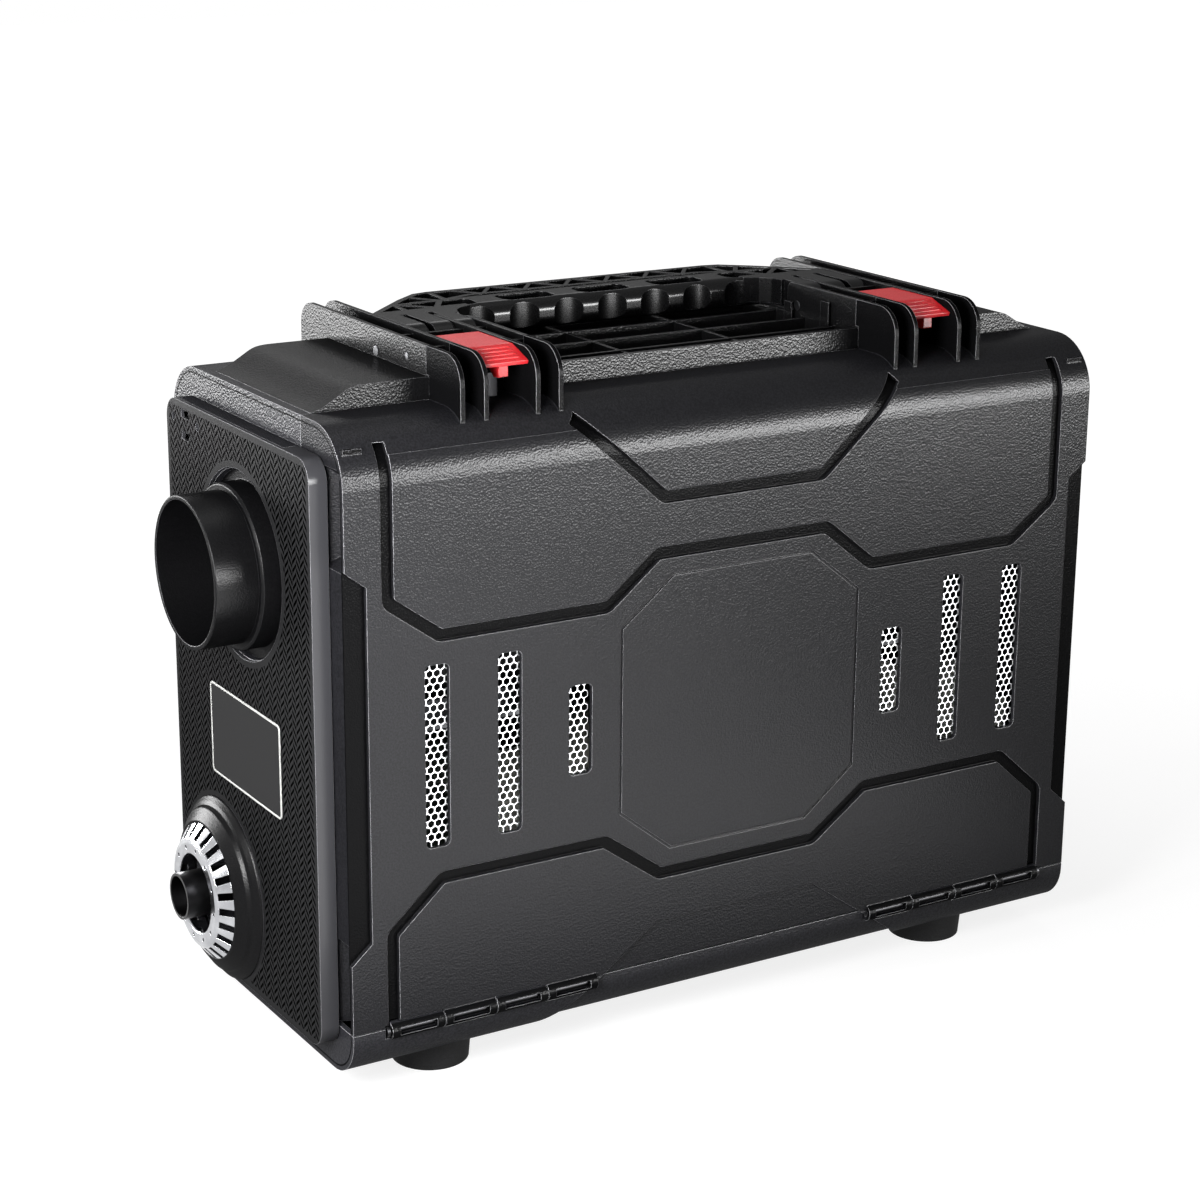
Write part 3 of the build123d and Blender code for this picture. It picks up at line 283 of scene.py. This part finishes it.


# Moulded ABS with a herringbone of short slanted cuts: close dashes, made black with painted shade, that
# change side from row to row, on a dark plate whose turned edge has the case's paler skin and whose free
# edges carry a painted highlight
def ribbedPlastic(name, spec):
    material, tree = newMaterial(name)
    where = addNode(tree, "TexCoord", None, (), "Object")
    parts = addNode(tree, "SeparateXYZ", None, {"Vector": where})
    y = addNode(tree, "Math", {"operation": "MULTIPLY_ADD"}, (parts.outputs["Y"], 1000.0, -caseShift.y), 0)
    z = addNode(tree, "Math", {"operation": "MULTIPLY_ADD"}, (parts.outputs["Z"], 1000.0, -caseShift.z), 0)
    # Columns side by side, and how far a point lies from the middle of its column
    column = addNode(tree, "Math", {"operation": "SUBTRACT"}, (y, spec["firstMm"]), 0)
    column = addNode(tree, "Math", {"operation": "DIVIDE"}, (column, spec["columnMm"]), 0)
    whole = addNode(tree, "Math", {"operation": "FLOOR"}, (column,), 0)
    across = addNode(tree, "Math", {"operation": "SUBTRACT"}, (column, whole), 0)
    across = addNode(tree, "Math", {"operation": "SUBTRACT"}, (across, 0.5), 0)
    across = addNode(tree, "Math", {"operation": "MULTIPLY"}, (across, spec["columnMm"]), 0)
    # Every other column leans the other way and starts half a step later
    odd = addNode(tree, "Math", {"operation": "FLOORED_MODULO"}, (whole, 2.0), 0)
    slope = math.tan(math.radians(spec["lean"]))
    lean = addNode(tree, "Math", {"operation": "MULTIPLY_ADD"}, (odd, -2 * slope, slope), 0)
    shift = addNode(tree, "Math", {"operation": "MULTIPLY"}, (lean, across), 0)
    slid = addNode(tree, "Math", {"operation": "SUBTRACT"}, (z, shift), 0)
    slid = addNode(tree, "Math", {"operation": "DIVIDE"}, (slid, spec["stepMm"]), 0)
    late = addNode(tree, "Math", {"operation": "MULTIPLY"}, (odd, 0.5), 0)
    turn = addNode(tree, "Math", {"operation": "ADD"}, (slid, late), 0)
    turn = addNode(tree, "Math", {"operation": "FRACT"}, (turn,), 0)
    turn = addNode(tree, "Math", {"operation": "SUBTRACT"}, (turn, 0.5), 0)
    inRow = addNode(tree, "Math", {"operation": "ABSOLUTE"}, (turn,), 0)
    half = spec["cutWideMm"] / spec["stepMm"] / 2 / math.cos(math.radians(spec["lean"]))
    soft = spec["softShare"]
    cutAndShade = addNode(tree, "MapRange", None, {
        "From Min": half + soft, "From Max": half - soft, "Value": inRow}, 0)
    across = addNode(tree, "Math", {"operation": "ABSOLUTE"}, (across,), 0)
    reach = addNode(tree, "MapRange", None, {
        "From Min": spec["cutReachMm"] + spec["softMm"], "From Max": spec["cutReachMm"], "Value": across}, 0)
    cutAndShade = addNode(tree, "Math", {"operation": "MULTIPLY"}, (cutAndShade, reach), 0)
    # A plain border runs round the plate and round both outlets
    for value, (low, high) in ((y, spec["acrossMm"]), (z, spec["upMm"])):
        for operation, limit in (("GREATER_THAN", low), ("LESS_THAN", high)):
            kept = addNode(tree, "Math", {"operation": operation}, (value, limit), 0)
            cutAndShade = addNode(tree, "Math", {"operation": "MULTIPLY"}, (cutAndShade, kept), 0)
    for midY, midZ, ring in (spec["ductMm"], spec["flueMm"]):
        squares = []
        for value, middle in ((y, midY), (z, midZ)):
            value = addNode(tree, "Math", {"operation": "SUBTRACT"}, (value, middle), 0)
            value = addNode(tree, "Math", {"operation": "ABSOLUTE"}, (value,), 0)
            squares.append(addNode(tree, "Math", {"operation": "POWER"}, (value, 2.0), 0))
        away = addNode(tree, "Math", {"operation": "ADD"}, squares, 0)
        kept = addNode(tree, "Math", {"operation": "GREATER_THAN"}, (away, ring ** 2), 0)
        cutAndShade = addNode(tree, "Math", {"operation": "MULTIPLY"}, (cutAndShade, kept), 0)
    # Painted highlight: free edges of the plate are mixed towards a pale colour
    edge = addNode(tree, "Bevel", {"samples": 6}, {"Radius": spec["edgeMm"] / 1000}, 0)
    flat = addNode(tree, "NewGeometry", None, (), "True Normal")
    bent = addNode(tree, "VectorMath", {"operation": "DOT_PRODUCT"}, (edge, flat), "Value")
    starts, full = spec["edgeTurn"]
    paintedHighlight = addNode(tree, "MapRange", None, {
        "From Min": starts, "From Max": full, "To Max": spec["paintedHighlightMost"], "Value": bent}, 0)
    facing = addNode(tree, "SeparateXYZ", None, {"Vector": flat}, "X")
    facing = addNode(tree, "Math", {"operation": "ABSOLUTE"}, (facing,), 0)
    starts, full = spec["rimFacing"]
    rim = addNode(tree, "MapRange", None, {"From Min": starts, "From Max": full, "Value": facing}, 0)
    colour = toLinear(spec["face"])
    # Painted shade fills the cuts and a painted highlight runs along the free edges
    for share, paint in ((cutAndShade, "cutAndShade"), (rim, "rim"), (paintedHighlight, "paintedHighlight")):
        colour = addNode(tree, "Mix", {"data_type": "RGBA"},
                         {0: share, 6: colour, 7: toLinear(spec[paint])}, 2)
    rough = addNode(tree, "Math", {"operation": "MULTIPLY_ADD"}, (cutAndShade, spec["cutRougher"], spec["rough"]), 0)
    bump = addNode(tree, "Bump", {"invert": True}, {
        "Strength": spec["bump"], "Distance": spec["cutDeepMm"] / 1000, "Height": cutAndShade, "Normal": edge}, 0)
    skin = addNode(tree, "Math", {"operation": "MULTIPLY_ADD"}, (cutAndShade, spec["cutSkin"], spec["skin"]), 0)
    skin = addNode(tree, "Math", {"operation": "MULTIPLY_ADD"}, (rim, spec["rimSkin"], skin), 0)
    shader = addNode(tree, "BsdfPrincipled", None, {
        "Base Color": colour, "Roughness": rough, "Normal": bump, "IOR": plastic["ior"],
        "Specular IOR Level": 0.0, "Coat Weight": skin, "Coat Roughness": spec["skinRough"],
        "Coat IOR": plastic["coatIor"], "Coat Normal": bump}, 0)
    addNode(tree, "OutputMaterial", None, {"Surface": shader})
    return material


ribbedAbs = ribbedPlastic("ribbedAbs", herringbone)
# What all metals share
metal = {"smoother": 0.05, "rougher": 0.08, "unevenMm": 0.2}


# Bare metal: clear to cloudy reflections that are a little uneven
def bareMetal(name, spec):
    material, tree = newMaterial(name)
    where = addNode(tree, "TexCoord", None, (), "Object")
    broad = {"Scale": 1000 / spec["cloudMm"], "Detail": 4.0, "Vector": where}
    cloud = addNode(tree, "TexNoise", None, broad, "Fac")
    rough = addNode(tree, "MapRange", None, {
        "To Min": spec["rough"] - metal["smoother"], "To Max": spec["rough"] + metal["rougher"],
        "Value": cloud}, 0)
    colour = addNode(tree, "Mix", {"data_type": "RGBA"},
                     {0: cloud, 6: toLinear(spec["dark"]), 7: toLinear(spec["light"])}, 2)
    edge = addNode(tree, "Bevel", {"samples": 4}, {"Radius": spec["edgeMm"] / 1000}, 0)
    bump = addNode(tree, "Bump", None, {
        "Strength": spec["bump"], "Distance": metal["unevenMm"] / 1000, "Height": cloud, "Normal": edge}, 0)
    shader = addNode(tree, "BsdfPrincipled", None, {
        "Metallic": 1.0, "Base Color": colour, "Roughness": rough, "Normal": bump}, 0)
    addNode(tree, "OutputMaterial", None, {"Surface": shader})
    return material


# Chromed steel of the exhaust guard: bright, with grey clouds in the plating
chromedSteel = bareMetal("chromedSteel", {
    "dark": "#85868A", "light": "#CFD0D3", "rough": 0.16, "cloudMm": 10, "edgeMm": 0.4, "bump": 0.05})
# Drawn stainless wire of the vents: thin pale lines
wovenSteel = bareMetal("wovenSteel", {
    "dark": "#B4B5B7", "light": "#D6D7D9", "rough": 0.35, "cloudMm": 3, "edgeMm": 0.15, "bump": 0.1})
# Oiled steel of pins, shelf and clamps: a dull mid grey
dullSteel = bareMetal("dullSteel", {
    "dark": "#3A3A3C", "light": "#505153", "rough": 0.34, "cloudMm": 8, "edgeMm": 0.3, "bump": 0.1})
# Cast aluminium of the burner and exchanger: a rough pale grey with a broken gloss
castAlloy = bareMetal("castAlloy", {
    "dark": "#8E9092", "light": "#A9ABAD", "rough": 0.48, "cloudMm": 2, "edgeMm": 0.6, "bump": 0.5})
# Zinc-plated sheet and tube: a cool grey with large soft clouds
zincSheet = bareMetal("zincSheet", {
    "dark": "#9FA3A6", "light": "#B9BDC0", "rough": 0.34, "cloudMm": 18, "edgeMm": 0.3, "bump": 0.08})
# Black-oxide steel of the exhaust stub, hinge pins and fan guard: near black with a metal gloss
blackenedSteel = bareMetal("blackenedSteel", {
    "dark": "#171718", "light": "#222223", "rough": 0.36, "cloudMm": 6, "edgeMm": 0.4, "bump": 0.15})
print("materials made")

# What each carried-over node is made of; the others are smoothAbs
finishes = [
    (housingAbs, ("rear_housing",)),
    (shellAbs, ("front_lid",)),
    (deckAbs, ("top_deck",)),
    (gripAbs, ("handle",)),
    (ribbedAbs, ("end_plate",)),
    (redAbs, ("latch_left", "latch_right", "button_power")),
    (chromedSteel, ("exhaust_guard", "motor_shaft")),
    (blackenedSteel, ("exhaust_stub", "hinge_pin_left", "hinge_pin_right", "latch_catch", "fan_guard")),
    (dullSteel, ("latch_pin_left", "latch_pin_right", "handle_pin_left", "handle_pin_right", "heater_shelf")),
    (zincSheet, ("exhaust_pipe", "burner_tube", "glow_plug", "fuel_inlet", "motor", "tank_pickup",
                 "fuel_pump")),
    (castAlloy, ("heat_exchanger", "combustion_housing", "combustion_wheel")),
    (rubber, ("lid_gasket", "suction_line", "feed_line", "pressure_line", "pump_mount", "intake_hose",
              "cable_gland", "foot_front_left", "foot_front_right", "foot_rear_left", "foot_rear_right")),
    (fanNylon, ("fan_impeller",)),
    (boardLacquer, ("control_board",)),
    (screenAcrylic, ("controller_screen",)),
    (tankPolyethylene, ("fuel_tank",)),
]
nodeFinish = {node: finish for finish, nodes in finishes for node in nodes}
for nodeName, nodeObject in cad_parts.items():
    for slot in nodeObject.material_slots:
        slot.material = nodeFinish.get(nodeName, smoothAbs)
print("nodes finished")


def addPiece(name, build, material, body):
    mesh = bpy.data.meshes.new(name)
    bmesh.ops.recalc_face_normals(build, faces=build.faces)
    build.to_mesh(mesh)
    build.free()
    mesh.materials.append(material)
    piece = bpy.data.objects.new(name, mesh)
    bpy.context.scene.collection.objects.link(piece)
    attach(piece, body)
    return piece


# Rings of points joined into one skin, each ring a list of points in case millimetres. The skin is closed at
# both ends, or runs from the last ring back to the first
def loftRings(build, rings, aroundAgain=False):
    made = [[build.verts.new(place(*point)) for point in ring] for ring in rings]
    count = len(made[0])
    for near, far in zip(made, made[1:] + (made[:1] if aroundAgain else [])):
        for i in range(count):
            j = (i + 1) % count
            build.faces.new((near[i], near[j], far[j], far[i]))
    if not aroundAgain:
        build.faces.new(made[0][::-1])
        build.faces.new(made[-1])


def roundedLoop(u0, u1, v0, v1, radius, steps=6):
    loop = []
    for cu, cv, start in ((u1 - radius, v1 - radius, 0), (u0 + radius, v1 - radius, 90),
                          (u0 + radius, v0 + radius, 180), (u1 - radius, v0 + radius, 270)):
        for k in range(steps + 1):
            a = math.radians(start + 90 * k / steps)
            loop.append((cu + radius * math.cos(a), cv + radius * math.sin(a)))
    return loop


# Hexagonal wire mesh behind the air slots
ventWeave = {
    "cellMm": 3.95, "wireMm": 0.5, "thickMm": 0.5, "weldMm": 0.1, "sheetY": 2.7,
    "x0": 38.6, "x1": 134.4, "z0": 108.6, "z1": 209.4}


def hexWeave(spec, mirrored):
    build = bmesh.new()
    rowStep = spec["cellMm"] * math.sqrt(3) / 2
    outer = spec["cellMm"] / math.sqrt(3)
    inner = (spec["cellMm"] - spec["wireMm"]) / math.sqrt(3)
    angles = [math.radians(60 * k + 30) for k in range(6)]
    rows = int((spec["z1"] - spec["z0"] - 2 * outer) / rowStep) + 1
    columns = int((spec["x1"] - spec["x0"]) / spec["cellMm"] - 0.5)
    for row in range(rows):
        z = spec["z0"] + outer + row * rowStep
        for k in range(columns):
            x = spec["x0"] + spec["cellMm"] * (k + 0.5 + 0.5 * (row % 2))
            rim, hole = ([(x + reach * math.cos(a), spec["sheetY"], z + reach * math.sin(a)) for a in angles]
                         for reach in (outer, inner))
            rim = [build.verts.new(place(*point)) for point in rim]
            hole = [build.verts.new(place(*point)) for point in hole]
            for i in range(6):
                j = (i + 1) % 6
                build.faces.new((rim[i], rim[j], hole[j], hole[i]))
    bmesh.ops.remove_doubles(build, verts=build.verts, dist=spec["weldMm"] / 1000)
    bmesh.ops.recalc_face_normals(build, faces=build.faces)
    bmesh.ops.solidify(build, geom=build.faces[:], thickness=spec["thickMm"] / 1000)
    if mirrored:
        middle = place(caseSize["long"] / 2, 0, 0).x
        for vert in build.verts:
            vert.co.x = 2 * middle - vert.co.x
    return build


leftWeave = addPiece("ventWeaveLeft", hexWeave(ventWeave, False), wovenSteel, "lid")
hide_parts("vent_mesh_left")
rightWeave = addPiece("ventWeaveRight", hexWeave(ventWeave, True), wovenSteel, "lid")
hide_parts("vent_mesh_right")
print("vent mesh made")

# Blank data plate on the outlet end: a satin field inside a pale raised rim
dataPlate = {
    "y0": 53.0, "y1": 135.7, "z0": 120.0, "z1": 168.4, "corner": 3.0, "faceX": -10.0,
    "rim": 1.1, "rimThick": 0.5, "rimEase": 0.15, "fieldThick": 0.3, "gap": 0.02}


def plateLoop(spec, inset, height):
    loop = roundedLoop(spec["y0"] + inset, spec["y1"] - inset, spec["z0"] + inset, spec["z1"] - inset,
                       spec["corner"] - inset)
    return [(spec["faceX"] - height, y, z) for y, z in loop]


def dataPlateRim(spec):
    build = bmesh.new()
    ease, thick, rim = spec["rimEase"], spec["rimThick"], spec["rim"]
    section = ((0, 0), (0, thick - ease), (ease, thick), (rim - ease, thick), (rim, thick - ease), (rim, 0))
    loftRings(build, [plateLoop(spec, inset, height) for inset, height in section], True)
    return build


def dataPlateField(spec):
    build = bmesh.new()
    inset = spec["rim"] + spec["gap"]
    loftRings(build, [plateLoop(spec, inset, 0), plateLoop(spec, inset, spec["fieldThick"])])
    return build


addPiece("dataPlateRim", dataPlateRim(dataPlate), paleInk, "base")
addPiece("dataPlateField", dataPlateField(dataPlate), satinFilm, "base")
print("data plate made")

# Grip ribs across the front slope of each latch: rounded bars with tapered ends
latchRibs = {
    "x0": 85.3, "x1": 103.9, "first": 21.6, "step": 3.1, "count": 4, "half": 0.75, "high": 0.55, "sunk": 0.05,
    "slopeFrom": (18.0, 341.0), "slopeTo": (33.5, 346.4), "ends": ((0, 0.3), (0.5, 0.85), (1.2, 1.0))}


def latchRibBuild(spec, mirrored):
    build = bmesh.new()
    fromY, fromZ = spec["slopeFrom"]
    toY, toZ = spec["slopeTo"]
    lean = math.atan2(toZ - fromZ, toY - fromY)
    stations = [(spec["x0"] + along, size) for along, size in spec["ends"]]
    stations += [(spec["x1"] - along, size) for along, size in reversed(spec["ends"])]
    for k in range(spec["count"]):
        midY = spec["first"] + k * spec["step"]
        midZ = fromZ + (midY - fromY) * math.tan(lean)
        rings = []
        for x, size in stations:
            ring = []
            for step in range(9):
                turn = math.pi * step / 8
                along = spec["half"] * size * math.cos(turn)
                up = spec["high"] * size * math.sin(turn) - spec["sunk"]
                y = midY + along * math.cos(lean) - up * math.sin(lean)
                z = midZ + along * math.sin(lean) + up * math.cos(lean)
                ring.append((caseSize["long"] - x if mirrored else x, y, z))
            rings.append(ring)
        loftRings(build, rings)
    return build


addPiece("latchRibsLeft", latchRibBuild(latchRibs, False), redAbs, "latch_left")
addPiece("latchRibsRight", latchRibBuild(latchRibs, True), redAbs, "latch_right")


# A ring of points about an axis through a place, round or six-sided
def ringAbout(at, axis, along, radius, sixSided=False, steps=24):
    ring = []
    for k in range(steps):
        turn = 2 * math.pi * k / steps
        reach = radius
        if sixSided:
            reach *= math.cos(math.pi / 6) / math.cos(turn % (math.pi / 3) - math.pi / 6)
        u, v = reach * math.cos(turn), reach * math.sin(turn)
        step = {"x": (along, u, v), "y": (u, along, v), "z": (u, v, along)}[axis]
        ring.append(tuple(a + b for a, b in zip(at, step)))
    return ring


# Socket screws: a rounded head with a six-sided recess, at the controller's corners and along the shelf.
# The dome is in shares of the head's height and radius
screwHead = {"radius": 2.6, "high": 1.6, "socket": 1.3, "deep": 1.1, "sunk": 0.1,
             "dome": ((0.6, 1.0), (0.9, 0.88), (1.0, 0.7))}
controllerScrews = [((x, 44.0, z), "y", -1) for x in (360.0, 420.0) for z in (147.0, 230.5)]
shelfScrews = [((x, 38.5, 164.0), "z", 1) for x in (30.0, 120.0, 210.0, 300.0)]


def screwBuild(spec, places):
    build = bmesh.new()
    radius, high, socket = spec["radius"], spec["high"], spec["socket"]
    profile = [(high * up, radius * wide, False) for up, wide in spec["dome"]]
    profile = [(-spec["sunk"], radius, False)] + profile
    profile += [(high, socket, True), (high - spec["deep"], socket, True)]
    for at, axis, way in places:
        loftRings(build, [ringAbout(at, axis, way * along, reach, six) for along, reach, six in profile])
    return build


addPiece("controllerScrews", screwBuild(screwHead, controllerScrews), blackenedSteel, "base")
addPiece("shelfScrews", screwBuild(screwHead, shelfScrews), dullSteel, "base")

# Worm-drive clamps on the air hose and the fuel lines: a band with a raised screw housing.
# Each has its place, the hose's radius and half its width
hoseClamps = {
    "places": (((195.0, 118.0, 139.0), 9.5, 3.5), ((228.0, 60.0, 140.0), 2.5, 2.2),
               ((327.5, 60.0, 140.0), 3.0, 2.2), ((257.5, 160.0, 135.0), 3.0, 2.2),
               ((317.0, 160.0, 135.0), 3.0, 2.2)),
    "slack": 0.02, "band": 0.7, "crown": 0.15, "ease": 0.3, "houseShare": 0.85, "houseHalf": 2.6,
    "houseCorner": 0.7, "houseSteps": ((0.0, 0.0), (1.9, 0.0), (2.3, 0.4)), "sunk": 0.1}


def clampBuild(spec):
    build = bmesh.new()
    for at, hose, half in spec["places"]:
        inner, outer = hose + spec["slack"], hose + spec["band"]
        crown, ease = outer + spec["crown"], half - spec["ease"]
        section = ((-half, inner), (-half, outer), (-ease, crown), (ease, crown), (half, outer),
                   (half, inner))
        loftRings(build, [ringAbout(at, "x", along, radius) for along, radius in section], True)
        wide, deep = half * spec["houseShare"], spec["houseHalf"]
        loops = []
        for high, inset in spec["houseSteps"]:
            loop = roundedLoop(inset - wide, wide - inset, inset - deep, deep - inset, spec["houseCorner"], 3)
            loops.append([(at[0] + u, at[1] + v, at[2] + outer - spec["sunk"] + high) for u, v in loop])
        loftRings(build, loops)
    return build


addPiece("hoseClamps", clampBuild(hoseClamps), dullSteel, "base")
print("ribs, screws and clamps made")

# Lamps, in metres and watts: where each stands, what it faces, how large and how strong it is. Those
# that don't fill are cards that only show in the gloss: two in front for the panels, two behind for
# the outlet end and one for the handle
lamps = {
    "keyPanel": ((-0.48, -0.38, 0.36), (-0.15, -0.1, 0.2), (0.2, 0.2), 5, True),
    "endPanel": ((-1.3, -0.1, 0.75), (-0.2, 0, 0.2), (0.5, 0.5), 8, True),
    "topPanel": ((0, 0.1, 1.5), (0, 0, 0.3), (1.0, 0.6), 4, True),
    "lowCard": ((0.75, -1.3, 0.36), (0, 0, 0.32), (1.1, 0.3), 120, False),
    "floorCard": ((0.0, -0.58, 0.005), (0.0, -0.58, 1), (0.62, 0.7), 10, False),
    "sideCard": ((-0.9, 1.4, 0.3), (-0.2, 0, 0.3), (0.9, 0.45), 80, False),
    "rearCard": ((0.3, 1.2, 0.9), (0, 0, 0.3), (1.0, 0.3), 6, False),
    "gripCard": ((-0.9, -0.7, 0.9), (0, 0, 0.35), (0.4, 0.4), 50, False),
}


def makeLamp(name, at, aim, size, power, fills):
    data = bpy.data.lights.new(name, "AREA")
    data.shape = "RECTANGLE"
    data.size, data.size_y = size
    data.energy = power
    lamp = bpy.data.objects.new(name, data)
    lamp.location = at
    lamp.rotation_euler = (Vector(aim) - Vector(at)).to_track_quat("-Z", "Y").to_euler()
    lamp.visible_camera = False
    lamp.visible_diffuse = fills
    bpy.context.scene.collection.objects.link(lamp)


for lampName, lampSpec in lamps.items():
    makeLamp(lampName, *lampSpec)

# White surround and floor; the fill is what the surround adds to the light on the object
surround = {"fill": 0.13, "white": 1.0}
# Close to the object the floor's glow is dimmed: a painted shadow
floorLook = {"halfM": 6, "grey": 0.3, "nearM": 0.3, "farM": 1.0, "paintedShadowWhite": 0.84, "farWhite": 1.0}


# One where a ray comes from the camera, a mirror or glass, and zero where it only carries light
def seenStraight(tree):
    path = addNode(tree, "LightPath")
    seen = addNode(tree, "Math", {"operation": "MAXIMUM"},
                   (path.outputs["Is Camera Ray"], path.outputs["Is Glossy Ray"]), 0)
    return addNode(tree, "Math", {"operation": "MAXIMUM"}, (seen, path.outputs["Is Transmission Ray"]), 0)


def makeSurround(spec):
    world = bpy.data.worlds.new("surround")
    bpy.context.scene.world = world
    world.use_nodes = True
    tree = world.node_tree
    tree.nodes.clear()
    seen = seenStraight(tree)
    level = addNode(tree, "MapRange", None, {
        "To Min": spec["fill"], "To Max": spec["white"], "Value": seen}, 0)
    paint = addNode(tree, "Background", None, {"Color": (1, 1, 1, 1), "Strength": level}, 0)
    addNode(tree, "OutputWorld", None, {"Surface": paint})


# White card under the object: it glows towards the eye, a little less close by, a painted shadow round the
# object so that the feet stand on it
def makeFloor(spec):
    build = bmesh.new()
    bmesh.ops.create_grid(build, x_segments=1, y_segments=1, size=spec["halfM"])
    mesh = bpy.data.meshes.new("floor")
    build.to_mesh(mesh)
    build.free()
    floor = bpy.data.objects.new("floor", mesh)
    bpy.context.scene.collection.objects.link(floor)
    material, tree = newMaterial("studioFloor")
    seen = seenStraight(tree)
    where = addNode(tree, "TexCoord", None, (), "Object")
    away = addNode(tree, "VectorMath", {"operation": "LENGTH"}, (where,), "Value")
    level = addNode(tree, "MapRange", None, {
        "From Min": spec["nearM"], "From Max": spec["farM"], "To Min": spec["paintedShadowWhite"],
        "To Max": spec["farWhite"], "Value": away}, 0)
    level = addNode(tree, "Math", {"operation": "MULTIPLY"}, (seen, level), 0)
    grey = spec["grey"]
    card = addNode(tree, "BsdfDiffuse", None, {"Color": (grey, grey, grey, 1)}, 0)
    glow = addNode(tree, "Emission", None, {"Color": (1, 1, 1, 1), "Strength": level}, 0)
    both = addNode(tree, "AddShader", None, (card, glow), 0)
    addNode(tree, "OutputMaterial", None, {"Surface": both})
    mesh.materials.append(material)


makeSurround(surround)
makeFloor(floorLook)
print("light and floor set")
